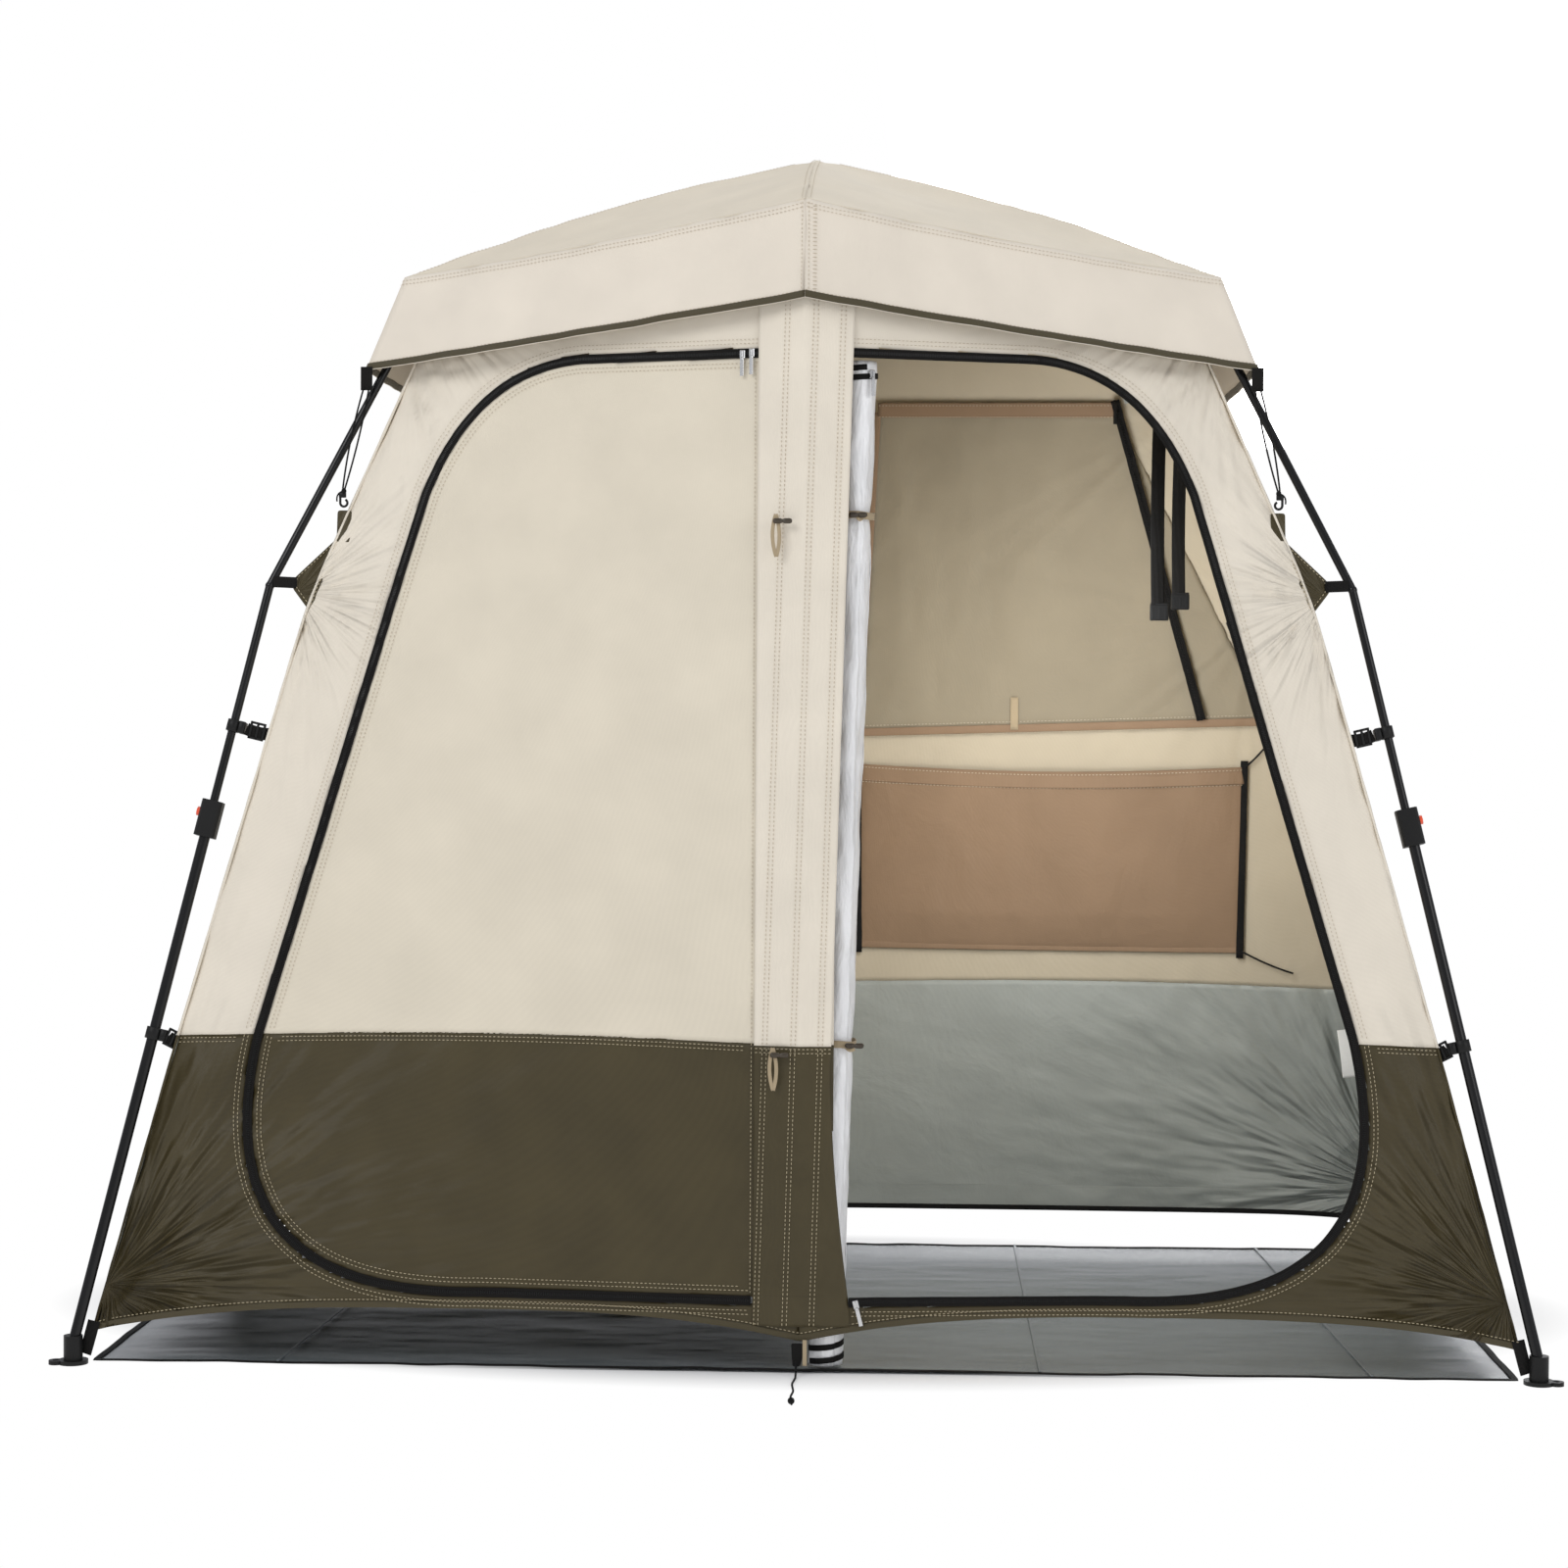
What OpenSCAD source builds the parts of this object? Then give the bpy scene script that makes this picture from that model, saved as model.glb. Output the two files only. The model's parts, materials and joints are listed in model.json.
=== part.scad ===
// Two-room pop-up shower and changing tent: fabric shell on an outside hub frame.
// X runs along the front, Y to the back and Z up. The origin is on the ground under the hub.

/* [Shell] */
// Half width of the walls at the hem
hem_half_w = 1049; // [1000:1:1060]
// Half depth of the walls at the hem
hem_half_d = 547; // [520:1:550]
// Half width of the walls at the eave
eave_half_w = 570; // [540:1:600]
// Half depth of the walls at the eave
eave_half_d = 306; // [300:1:315]
// Distance from the centre line to the front seam, which bulges past the corners
seam_half_d = 554; // [540:1:560]
// Height of the hem above the ground
hem_h = 48; // [40:1:60]
// Height of the seam between the dark band and the upper wall
band_h = 482; // [450:1:520]
// Height of the corner gussets, where the walls are pulled towards the legs
gusset_h = 1140; // [1120:1:1160]
// Height of the wall corners at the eave
eave_h = 1600; // [1580:1:1610]
// Extra height of the walls at the centre seams
seam_lift = 90; // [60:1:95]
// Thickness of the cloth
cloth = 2; // [1.5:0.1:2.5]

/* [Roof] */
// Height of the peak of the roof cap
peak_h = 1880; // [1878:1:1890]
// Height of the cap's corners
cap_corner_h = 1640; // [1638:1:1650]
// Height of the cap's edge at the centre seams
cap_seam_h = 1719; // [1710:1:1725]
// Half width of the cap's edge at the corners
cap_half_w = 627; // [620:1:635]
// Half depth of the cap's edge at the corners
cap_half_d = 313; // [308:1:320]
// Half depth of the cap's edge at the centre seams
cap_seam_d = 558; // [556:1:562]
// Drop of the valance
valance_drop = 147; // [120:1:160]

/* [Doors] */
// Height of the top of the door openings
door_top = 1505; // [1490:1:1510]
// Height of the foot of the door openings
door_foot = 100; // [90:1:120]
// Distance from the centre to the straight side of each door
door_side = 48; // [46:1:60]
// Width of the zip tape
zip_w = 14; // [10:1:18]

/* [Frame] */
// Height of the arm pivots on the hub
hub_h = 1800; // [1795:1:1803]
// Radius of the lower leg tubes
lower_r = 8.2; // [8:0.1:8.6]
// Radius of the upper leg tubes and of the arms' inner ends
upper_r = 6.35; // [6:0.05:6.4]
// Half width between the feet
foot_half_w = 1077; // [1070:1:1080]
// Half depth between the feet
foot_half_d = 556; // [550:1:560]

/* [Hidden] */
$fn = 32;
cream = "#E8DDCB";
olive = "#4A412B";
black = "#1E1D1C";
tan = "#C9B491";
grey = "#9A9DA0";

// Heights, half widths and half depths of the wall corners
LEVELS = [
    [hem_h, hem_half_w, hem_half_d],
    [band_h, 937, 487],
    [gusset_h, 760, 387],
    [eave_h, eave_half_w, eave_half_d]];
// Places in the frame, in the quadrant at the back right
arm_az = 26.6;
hub_pivot_r = 57;
arm_drop = 188;
arm_reach = 618;
arm_tilt = atan2(arm_drop, arm_reach);
arm_len = sqrt(arm_drop * arm_drop + arm_reach * arm_reach);
elbow_offset = 11;
seam_arm_tilt = 12;
seam_arm_len = 470;
elbow_r = hub_pivot_r + arm_len * cos(arm_tilt) - elbow_offset * sin(arm_tilt);
elbow_z = hub_h - arm_len * sin(arm_tilt) - elbow_offset * cos(arm_tilt);
RADIAL = [cos(arm_az), sin(arm_az), 0];
ELBOW = elbow_r * RADIAL + [0, 0, elbow_z];
LEG_TOP = ELBOW + elbow_offset * RADIAL;
LEG_BEND = [820, 393, 1160];
LEG_FOOT = [foot_half_w, foot_half_d, 30];
leg_dir = (LEG_BEND - LEG_FOOT) / norm(LEG_BEND - LEG_FOOT);
// Distances along the straight part of the leg, from the foot upwards
lock_at = 775;
lock_len = 56;
overlap_at = 500;
lower_clip_at = 462;
upper_clip_at = 940;
guy_r = 1.6;
// The rolled door and the heights of its ties
ROLL_FOOT = [38, -516, 8];
ROLL_TOP = [80, -486, 1490];
roll_r = 26;
TIE_HEIGHTS = [470, 1250];
// Route of the guy cord, from the tab at the centre of the front hem out over the ground
GUY = [[-4, -566, 20], [-4, -570, 14], [-4, -576, 7], [-4, -584, 3], [-4, -594, 2], [-5, -606, 2],
    [-6, -618, 2], [-7, -630, 2], [-7, -642, 2], [-6, -654, 2], [-5, -666, 2], [-4, -676, 2],
    [-4, -688, 2], [-5, -700, 2], [-6, -712, 2], [-6, -724, 2], [-5, -736, 2], [-4, -748, 2]];

function mix3(a, b, t) = a + (b - a) * t;
function clampt(t) = min(1, max(0, t));
function level_of(h) = h < LEVELS[1][0] ? 0 : h < LEVELS[2][0] ? 1 : 2;
// Half width and half depth of the walls at a corner height
function half_at(h) =
    let (i = level_of(h), t = (h - LEVELS[i][0]) / (LEVELS[i + 1][0] - LEVELS[i][0]))
    mix3(LEVELS[i], LEVELS[i + 1], t);
function lift_at(h) = seam_lift * clampt((h - gusset_h) / (eave_h - gusset_h));
// Columns of the right half: 0 front seam, 1 front corner, 2 back corner, 3 back seam
function column(c, h, d) =
    let (s = half_at(h), side = c < 2 ? -1 : 1)
    c == 0 || c == 3 ? [0, side * (seam_half_d - d), h + lift_at(h)]
    : [s[1] - d, side * (s[2] - d), h];
// A point between two columns
function wall_point(c, u, h, d) = mix3(column(c, h, d), column(c + 1, h, d), u);

// A thin sheet that follows the wall between two fractions of a facet
module wall_sheet(c, u0, u1, heights, d0, d1, cols = 5) {
    rows = len(heights);
    half = rows * cols;
    pts = [for (d = [d0, d1]) for (h = heights) for (k = [0 : cols - 1])
        wall_point(c, u0 + (u1 - u0) * k / (cols - 1), h, d)];
    o = function(i, j) cols * i + j;
    q = function(i, j) half + cols * i + j;
    cells = [for (i = [0 : rows - 2]) for (j = [0 : cols - 2]) [i, j]];
    up = [for (i = [0 : rows - 2]) i];
    across = [for (j = [0 : cols - 2]) j];
    last = cols - 1;
    top = rows - 1;
    faces = [
        for (k = cells) [o(k[0], k[1]), o(k[0] + 1, k[1]), o(k[0] + 1, k[1] + 1)],
        for (k = cells) [o(k[0], k[1]), o(k[0] + 1, k[1] + 1), o(k[0], k[1] + 1)],
        for (k = cells) [q(k[0], k[1]), q(k[0] + 1, k[1] + 1), q(k[0] + 1, k[1])],
        for (k = cells) [q(k[0], k[1]), q(k[0], k[1] + 1), q(k[0] + 1, k[1] + 1)],
        for (i = up) [q(i, 0), q(i + 1, 0), o(i + 1, 0)],
        for (i = up) [q(i, 0), o(i + 1, 0), o(i, 0)],
        for (i = up) [o(i, last), o(i + 1, last), q(i + 1, last)],
        for (i = up) [o(i, last), q(i + 1, last), q(i, last)],
        for (j = across) [o(top, j), q(top, j), q(top, j + 1)],
        for (j = across) [o(top, j), q(top, j + 1), o(top, j + 1)],
        for (j = across) [o(0, j), q(0, j + 1), q(0, j)],
        for (j = across) [o(0, j), o(0, j + 1), q(0, j + 1)]];
    polyhedron(points = pts, faces = faces);
}

// Heights of the rows of points in the upper walls and in the dark band
upper = [band_h, 650, 810, 980, gusset_h, 1260, 1380, 1490, eave_h];
lower = [hem_h, 190, 330, band_h];

// A quadratic curve in the plane of a door outline
function bend(a, b, c, n) =
    [for (i = [0 : n]) let (t = i / n) (1 - t) * (1 - t) * a + 2 * t * (1 - t) * b + t * t * c];

// Outline of a door: straight along the centre strip, slanted along the outer side
module door_outline() {
    polygon(concat(
        [[door_side, door_foot + 2]],
        [[door_side, door_top - 2]],
        bend([340, door_top], [513, door_top - 9], [586, door_top - 203], 8),
        bend([817, 493], [905, 95], [475, door_foot + 8], 10)));
}

module door_cut(inset, side) {
    scale([side, 1, 1]) rotate([90, 0, 0]) linear_extrude(620) offset(delta = -inset) door_outline();
}

module front_sheet(side, heights, d0, d1) {
    mirror([side < 0 ? 1 : 0, 0, 0]) wall_sheet(0, 0, 1, heights, d0, d1);
}

module front_panel(side, heights, tint) {
    color(tint) difference() {
        front_sheet(side, heights, 0, cloth);
        door_cut(0, side);
    }
}

module side_panel(side, heights, tint) {
    color(tint) mirror([side < 0 ? 1 : 0, 0, 0]) wall_sheet(1, 0, 1, heights, 0, cloth);
}

// Outline of a rear window, seen from the front
module window_outline() {
    polygon([[96, 938], [790, 962], [640, 1380], [513, 1500], [96, 1515]]);
}

module window_cut(inset) {
    for (side = [0, 1]) mirror([side, 0, 0])
        translate([0, 620, 0]) rotate([90, 0, 0]) linear_extrude(400) offset(delta = -inset) window_outline();
}

module back_sheet(heights, d0, d1) {
    for (side = [0, 1]) mirror([side, 0, 0]) mirror([0, 1, 0]) wall_sheet(0, 0, 1, heights, d0, d1);
}

module zip_tape(side) {
    color(black) intersection() {
        union() {
            front_sheet(side, upper, 0, cloth);
            front_sheet(side, lower, 0, cloth);
        }
        difference() {
            door_cut(0, side);
            door_cut(zip_w, side);
        }
    }
}

module door_leaf() {
    color("#D8D0BD") intersection() {
        union() {
            front_sheet(-1, upper, 0, cloth);
            front_sheet(-1, lower, 0, cloth);
        }
        door_cut(zip_w + 2, -1);
    }
}

// A round bar between two points
module rod(a, b, r) {
    v = b - a;
    translate(a) rotate([0, acos(v[2] / norm(v)), atan2(v[1], v[0])]) cylinder(h = norm(v), r = r);
}

// A flat strap between two points, with its width across the line
module strap(a, b, w, t) {
    v = b - a;
    translate(a) rotate([0, acos(v[2] / norm(v)), atan2(v[1], v[0])])
        translate([-t / 2, -w / 2, 0]) cube([t, w, norm(v)]);
}

// Repeats a part of the back right quadrant in another one
module quadrant(x, y) {
    mirror([x < 0 ? 1 : 0, 0, 0]) mirror([0, y < 0 ? 1 : 0, 0]) children();
}

module quadrants() {
    for (x = [-1, 1]) for (y = [-1, 1]) quadrant(x, y) children();
}

function roof_ring(drop, grow) = [
    for (p = [[0, -1], [1, -1], [1, 1], [0, 1], [-1, 1], [-1, -1]])
        p[0] == 0 ? [0, p[1] * (cap_seam_d + 0.4 * grow), cap_seam_h - drop]
        : [p[0] * (cap_half_w + grow), p[1] * (cap_half_d + 0.6 * grow), cap_corner_h - drop]];

module roof_cap() {
    ring = roof_ring(0, 0);
    pts = concat([[0, 0, peak_h]], ring, [[0, 0, peak_h - cloth]], roof_ring(cloth, 0));
    color("#D9D1BF") polyhedron(points = pts, faces = [
        for (k = [0 : 5]) [0, 1 + (k + 1) % 6, 1 + k],
        for (k = [0 : 5]) [7, 8 + k, 8 + (k + 1) % 6],
        for (k = [0 : 5]) [1 + k, 1 + (k + 1) % 6, 8 + (k + 1) % 6],
        for (k = [0 : 5]) [1 + k, 8 + (k + 1) % 6, 8 + k]]);
}

// Skirt around the cap's edge, flared at its foot
module roof_valance() {
    flare = 55;
    pts = concat(roof_ring(cloth, 0), roof_ring(valance_drop, flare),
        roof_ring(cloth, -cloth), roof_ring(valance_drop, flare - cloth));
    color("#E4DBCF") polyhedron(points = pts, faces = [
        for (k = [0 : 5]) let (m = (k + 1) % 6) [k, m, 6 + m],
        for (k = [0 : 5]) let (m = (k + 1) % 6) [k, 6 + m, 6 + k],
        for (k = [0 : 5]) let (m = (k + 1) % 6) [12 + k, 18 + m, 12 + m],
        for (k = [0 : 5]) let (m = (k + 1) % 6) [12 + k, 18 + k, 18 + m],
        for (k = [0 : 5]) let (m = (k + 1) % 6) [k, 12 + m, m],
        for (k = [0 : 5]) let (m = (k + 1) % 6) [k, 12 + k, 12 + m],
        for (k = [0 : 5]) let (m = (k + 1) % 6) [6 + k, 6 + m, 18 + m],
        for (k = [0 : 5]) let (m = (k + 1) % 6) [6 + k, 18 + m, 18 + k]]);
}

module groundsheet() {
    color(grey) translate([-1045, -545, 0]) cube([2090, 1090, cloth]);
}

module wall_front_left() { front_panel(-1, upper, cream); }
module wall_front_right() { front_panel(1, upper, cream); }
module band_front_left() { front_panel(-1, lower, olive); }
module band_front_right() { front_panel(1, lower, olive); }
module wall_left() { side_panel(-1, upper, cream); }
module wall_right() { side_panel(1, upper, cream); }
module band_left() { side_panel(-1, lower, olive); }
module band_right() { side_panel(1, lower, olive); }

module wall_back() {
    color(cream) difference() {
        back_sheet(upper, 0, cloth);
        window_cut(0);
    }
}

module band_back() {
    color(olive) back_sheet(lower, 0, cloth);
}

// Cloth flaps that close the rear windows
module window_flaps() {
    color("#9C8C70") intersection() {
        back_sheet(upper, 0, cloth);
        window_cut(1);
    }
}

// Strip that covers the centre seam between the two doors
module centre_strip() {
    color(cream) for (side = [-1, 1]) front_sheet_strip(side);
}

// One half of that strip
module front_sheet_strip(side) {
    mirror([side < 0 ? 1 : 0, 0, 0])
        wall_sheet(0, 0, 0.05, [hem_h, band_h, 810, gusset_h, 1330, eave_h - 60], -4, -1, 2);
}

// The right-hand door, rolled up and tied beside the centre strip
module rolled_door() {
    color("#D5D6D8") rod(ROLL_FOOT, ROLL_TOP, roll_r);
}

function roll_at(z) = mix3(ROLL_FOOT, ROLL_TOP, (z - ROLL_FOOT[2]) / (ROLL_TOP[2] - ROLL_FOOT[2]));

// Loops around the rolled door, and loose ones for the other door
module tie_loops() {
    color(tan) for (z = TIE_HEIGHTS) translate(roll_at(z)) difference() {
        cylinder(h = 24, r = roll_r + 3.2);
        translate([0, 0, -1]) cylinder(h = 26, r = roll_r + 1.5);
    }
    color(tan) for (z = TIE_HEIGHTS) translate([-46, -(seam_half_d + 9), z - 90]) cube([10, 3, 100]);
}

module tie_toggles() {
    color("#3A3226") for (z = TIE_HEIGHTS) {
        translate([78, roll_at(z)[1] - 35, z + 12]) rotate([0, 90, 0]) cylinder(h = 28, r = 4, center = true);
        translate([-31, -(seam_half_d + 15), z]) rotate([0, 90, 0]) cylinder(h = 28, r = 4, center = true);
    }
}

// Curtain between the two rooms
module room_divider() {
    color(tan) rotate([90, 0, 90]) translate([0, 0, -cloth / 2]) linear_extrude(cloth)
        polygon([[-545, 70], [545, 70], [545, 1600], [-545, 1600]]);
}

// Storage pocket on the inside of the back wall, open at the top
module storage_pocket() {
    color("#8B7259") translate([66, 543, 547]) rotate([4.8, 0, -6.8]) mirror([0, 1, 0]) difference() {
        cube([690, 34, 334]);
        translate([2, 2, 2]) cube([686, 30, 340]);
    }
}

// Sewn-on gussets at the corners, each with an upper and an outer ear
module corner_gussets() {
    color(olive) quadrants() translate([0, 391, 0]) rotate([90, 0, 0]) linear_extrude(2)
        polygon([[762, 1128], [708, 1274], [696, 1270], [715, 1235], [752, 1140]]);
    color(olive) quadrants() translate([0, 394, 0]) rotate([90, 0, 0]) linear_extrude(2)
        polygon([[764, 1122], [790, 1160], [782, 1172], [745, 1175], [720, 1215]]);
}

function leg_at(s) = LEG_FOOT + leg_dir * s;

// Puts a part on the straight stretch of the leg, with its Z along the tube
module on_leg(s) {
    v = leg_dir;
    translate(leg_at(s)) rotate([0, acos(v[2]), atan2(v[1], v[0])])
        rotate([0, 0, -atan2(v[1], v[0])]) children();
}

// Webbing between the walls' corners and the legs
module leg_straps() {
    color(black) quadrants() {
        for (s = [lower_clip_at, upper_clip_at]) {
            p = leg_at(s);
            c = half_at(p[2]);
            strap([c[1] + 3, c[2] - 4, p[2]], p - [14, 0, 0] - leg_dir * 8, 20, 2);
        }
        strap([half_at(60)[1] + 3, half_at(60)[2], 60], LEG_FOOT + [-22, -8, -18], 20, 2);
        strap([786, 396, 1166], [807, 396, 1166], 18, 2);
    }
}

// Open clips that snap around the legs
module leg_clips() {
    color(black) quadrants() {
        for (s = [lower_clip_at, upper_clip_at]) on_leg(s) leg_clip(s < lock_at ? lower_r + 0.8 : upper_r + 0.8);
    }
}

module leg_clip(bore) {
    difference() {
        union() {
            cylinder(h = 18, r = bore + 3);
            translate([-bore - 8, -9, 0]) cube([8, 18, 18]);
        }
        translate([0, 0, -1]) cylinder(h = 20, r = bore);
        translate([bore - 2, -4, -1]) cube([8, 8, 20]);
    }
}

// Elastic tethers that pull the cap's corners down to the gussets
module cap_tethers() {
    color(black) quadrants() {
        rod([678, 353, 1470], [702, 386, 1300], 1.5);
        translate([668, 353, 1462]) cube([20, 2, 36]);
        translate([696, 384, 1278]) cube([12, 5, 22]);
    }
}

module hanging_strap(x, y, top, foot) {
    color(black) translate([x - 12.5, y, foot + 30]) cube([25, 2, top - foot - 30]);
    color(black) translate([x - 16, y - 4, foot]) cube([32, 10, 30]);
}

module strap_a() { hanging_strap(558, -60, 1520, 1123); }
module strap_b() { hanging_strap(602, 60, 1455, 1145); }

module guy_tab() {
    color(black) translate([0, -562, 0]) rotate([90, 0, 0]) linear_extrude(2)
        polygon([[-12, 47], [12, 47], [2, 12], [-10, 12]]);
}

module guy_cord() {
    sides = 8;
    n = len(GUY);
    pts = [for (i = [0 : n - 1]) for (k = [0 : sides - 1])
        let (t = GUY[min(n - 1, i + 1)] - GUY[max(0, i - 1)], u = t / norm(t),
            s = [-u[1], u[0], 0] / norm([u[1], u[0]]), w = cross(s, u), a = 360 * k / sides)
        GUY[i] + guy_r * (cos(a) * s + sin(a) * w)];
    color(black) polyhedron(points = pts, faces = concat(
        [for (i = [0 : n - 2]) for (k = [0 : sides - 1]) let (m = (k + 1) % sides)
            [i * sides + k, (i + 1) * sides + k, (i + 1) * sides + m]],
        [for (i = [0 : n - 2]) for (k = [0 : sides - 1]) let (m = (k + 1) % sides)
            [i * sides + k, (i + 1) * sides + m, i * sides + m]],
        [[for (k = [0 : sides - 1]) k]],
        [[for (k = [sides - 1 : -1 : 0]) (n - 1) * sides + k]]));
}

module guy_knot() {
    color(black) translate([-4, -754, 5]) sphere(r = 5);
}

// Hub with six pairs of ears, and the pins that the arms turn on
module hub() {
    color(black) difference() {
        union() {
            translate([0, 0, hub_h - 18]) cylinder(h = 36, r = 44);
            for (az = hub_azimuths()) rotate([0, 0, az]) hub_ears();
        }
        for (az = hub_azimuths()) rotate([0, 0, az]) translate([42, -4.6, hub_h - 30]) cube([60, 9.2, 60]);
    }
    color("silver") for (az = hub_azimuths()) rotate([0, 0, az])
        translate([hub_pivot_r, 9.5, hub_h]) rotate([90, 0, 0]) cylinder(h = 19, r = 3);
}

function hub_azimuths() = [arm_az, 180 - arm_az, 180 + arm_az, -arm_az, 90, 270];

module hub_ears() {
    for (y = [-9.2, 4.6]) translate([36, y, hub_h - 9]) cube([hub_pivot_r - 36, 4.6, 18]);
    for (y = [-9.2, 4.6]) translate([hub_pivot_r, y + 4.6, hub_h]) rotate([90, 0, 0]) cylinder(h = 4.6, r = 9);
}

module hub_cap() {
    color(black) translate([0, 0, hub_h + 18]) cylinder(h = 46, r = 30);
    color(black) translate([0, 0, hub_h + 64]) cylinder(h = 6, r1 = 30, r2 = 14);
}

// Arm in its own frame: X along the tube, from the hub pivot outwards
module arm_tube(length, drilled_end) {
    difference() {
        union() {
            translate([0, 4, 0]) rotate([90, 0, 0]) cylinder(h = 8, r = 8);
            translate([0, -4, -7]) cube([24, 8, 14]);
            translate([22, 0, 0]) rotate([0, 90, 0]) cylinder(h = length - 22 - drilled_end, r = lower_r);
        }
        translate([0, 5, 0]) rotate([90, 0, 0]) cylinder(h = 10, r = 3.1);
    }
}

// Fork at the arm's outer end, with the pin of the leg below the tube's line
module elbow_fork() {
    for (y = [-12.5, 7]) {
        translate([arm_len - 44, y, -10]) cube([44, 5.5, 20]);
        translate([arm_len, y + 5.5, -elbow_offset]) rotate([90, 0, 0]) cylinder(h = 5.5, r = 9);
        translate([arm_len - 9, y, -elbow_offset]) cube([18, 5.5, elbow_offset + 10]);
    }
    translate([arm_len - 50, -12.5, -10]) cube([22, 25, 20]);
    translate([arm_len, 7.1, -elbow_offset]) rotate([90, 0, 0]) cylinder(h = 14.2, r = 3);
}

module arm(x, y) {
    color(black) quadrant(x, y) rotate([0, 0, arm_az]) translate([hub_pivot_r, 0, hub_h])
        rotate([0, arm_tilt, 0]) {
            arm_tube(arm_len, 45);
            elbow_fork();
        }
}

module seam_arm(y) {
    color(black) quadrant(1, y) rotate([0, 0, 90]) translate([hub_pivot_r, 0, hub_h])
        rotate([0, seam_arm_tilt, 0]) {
            arm_tube(seam_arm_len, 10);
            translate([seam_arm_len - 12, 0, 0]) rotate([0, 90, 0]) cylinder(h = 18, r = 10);
        }
}

// Upper leg: knuckle, bowed tube and the stretch that slides in the lower leg
module upper_leg(x, y) {
    color(black) quadrant(x, y) difference() {
        union() {
            translate(ELBOW) rotate([0, 0, arm_az]) translate([0, 5, 0]) rotate([90, 0, 0])
                cylinder(h = 10, r = 8);
            translate(ELBOW) rotate([0, 0, arm_az]) translate([0, -5, -24]) cube([elbow_offset + 5, 10, 28]);
            rod(LEG_TOP - [0, 0, 15], LEG_BEND, upper_r);
            translate(LEG_BEND) sphere(r = upper_r + 0.7);
            rod(leg_at(overlap_at), LEG_BEND, upper_r);
        }
        translate(ELBOW) rotate([0, 0, arm_az]) translate([0, 6, 0]) rotate([90, 0, 0])
            cylinder(h = 12, r = 3.1);
    }
}

module lower_leg(x, y) {
    color(black) quadrant(x, y) on_leg(0) difference() {
        cylinder(h = lock_at + 26, r = lower_r);
        translate([0, 0, 30]) cylinder(h = lock_at, r = upper_r + 0.4);
    }
}

// Lock housing at the top of the lower leg
module lock(x, y) {
    color(black) quadrant(x, y) on_leg(lock_at) difference() {
        intersection() {
            translate([-16, -14, 0]) cube([32, 28, lock_len]);
            translate([0, 0, -1]) cylinder(h = lock_len + 2, r = 18);
        }
        translate([0, 0, -1]) cylinder(h = 27, r = lower_r + 0.05);
        translate([0, 0, -1]) cylinder(h = lock_len + 2, r = upper_r + 0.4);
        translate([9.6, 0, lock_len - 20]) rotate([0, 90, 0]) cylinder(h = 20, r = 7.4);
    }
}

module button(x, y) {
    color("#F0522A") quadrant(x, y) on_leg(lock_at) translate([13.2, 0, lock_len - 20])
        rotate([0, 90, 0]) cylinder(h = 7.4, r = 7);
}

// Foot with a stake hole outside the leg
module foot(x, y) {
    color(black) quadrant(x, y) difference() {
        union() {
            translate([foot_half_w, foot_half_d, 0]) cylinder(h = 6, r = 22);
            translate([foot_half_w, foot_half_d, 6]) cylinder(h = 36, r = 14);
            translate([foot_half_w + 24, foot_half_d + 6, 0]) cylinder(h = 6, r = 11);
        }
        on_leg(0) cylinder(h = 40, r = lower_r + 0.05);
        translate([foot_half_w + 24, foot_half_d + 6, -1]) cylinder(h = 8, r = 5);
        translate([foot_half_w, foot_half_d, 42]) cylinder(h = 12, r = 20);
    }
}

groundsheet();
wall_front_left();
wall_front_right();
wall_back();
wall_left();
wall_right();
band_front_left();
band_front_right();
band_back();
band_left();
band_right();
centre_strip();
roof_cap();
roof_valance();
zip_tape(-1);  // zip_left
zip_tape(1);  // zip_right
door_leaf();  // door_left
rolled_door();
tie_loops();
tie_toggles();
window_flaps();
room_divider();
storage_pocket();
corner_gussets();
leg_straps();
leg_clips();
cap_tethers();
strap_a();
strap_b();
guy_tab();
guy_cord();
guy_knot();
hub();
hub_cap();
seam_arm(-1);  // arm_front
seam_arm(1);  // arm_back
arm(-1, -1);  // arm_fl
arm(1, -1);  // arm_fr
arm(-1, 1);  // arm_bl
arm(1, 1);  // arm_br
upper_leg(-1, -1);  // upper_leg_fl
upper_leg(1, -1);  // upper_leg_fr
upper_leg(-1, 1);  // upper_leg_bl
upper_leg(1, 1);  // upper_leg_br
lower_leg(-1, -1);  // lower_leg_fl
lower_leg(1, -1);  // lower_leg_fr
lower_leg(-1, 1);  // lower_leg_bl
lower_leg(1, 1);  // lower_leg_br
lock(-1, -1);  // lock_fl
lock(1, -1);  // lock_fr
lock(-1, 1);  // lock_bl
lock(1, 1);  // lock_br
button(-1, -1);  // button_fl
button(1, -1);  // button_fr
button(-1, 1);  // button_bl
button(1, 1);  // button_br
foot(-1, -1);  // foot_fl
foot(1, -1);  // foot_fr
foot(-1, 1);  // foot_bl
foot(1, 1);  // foot_br
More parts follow.
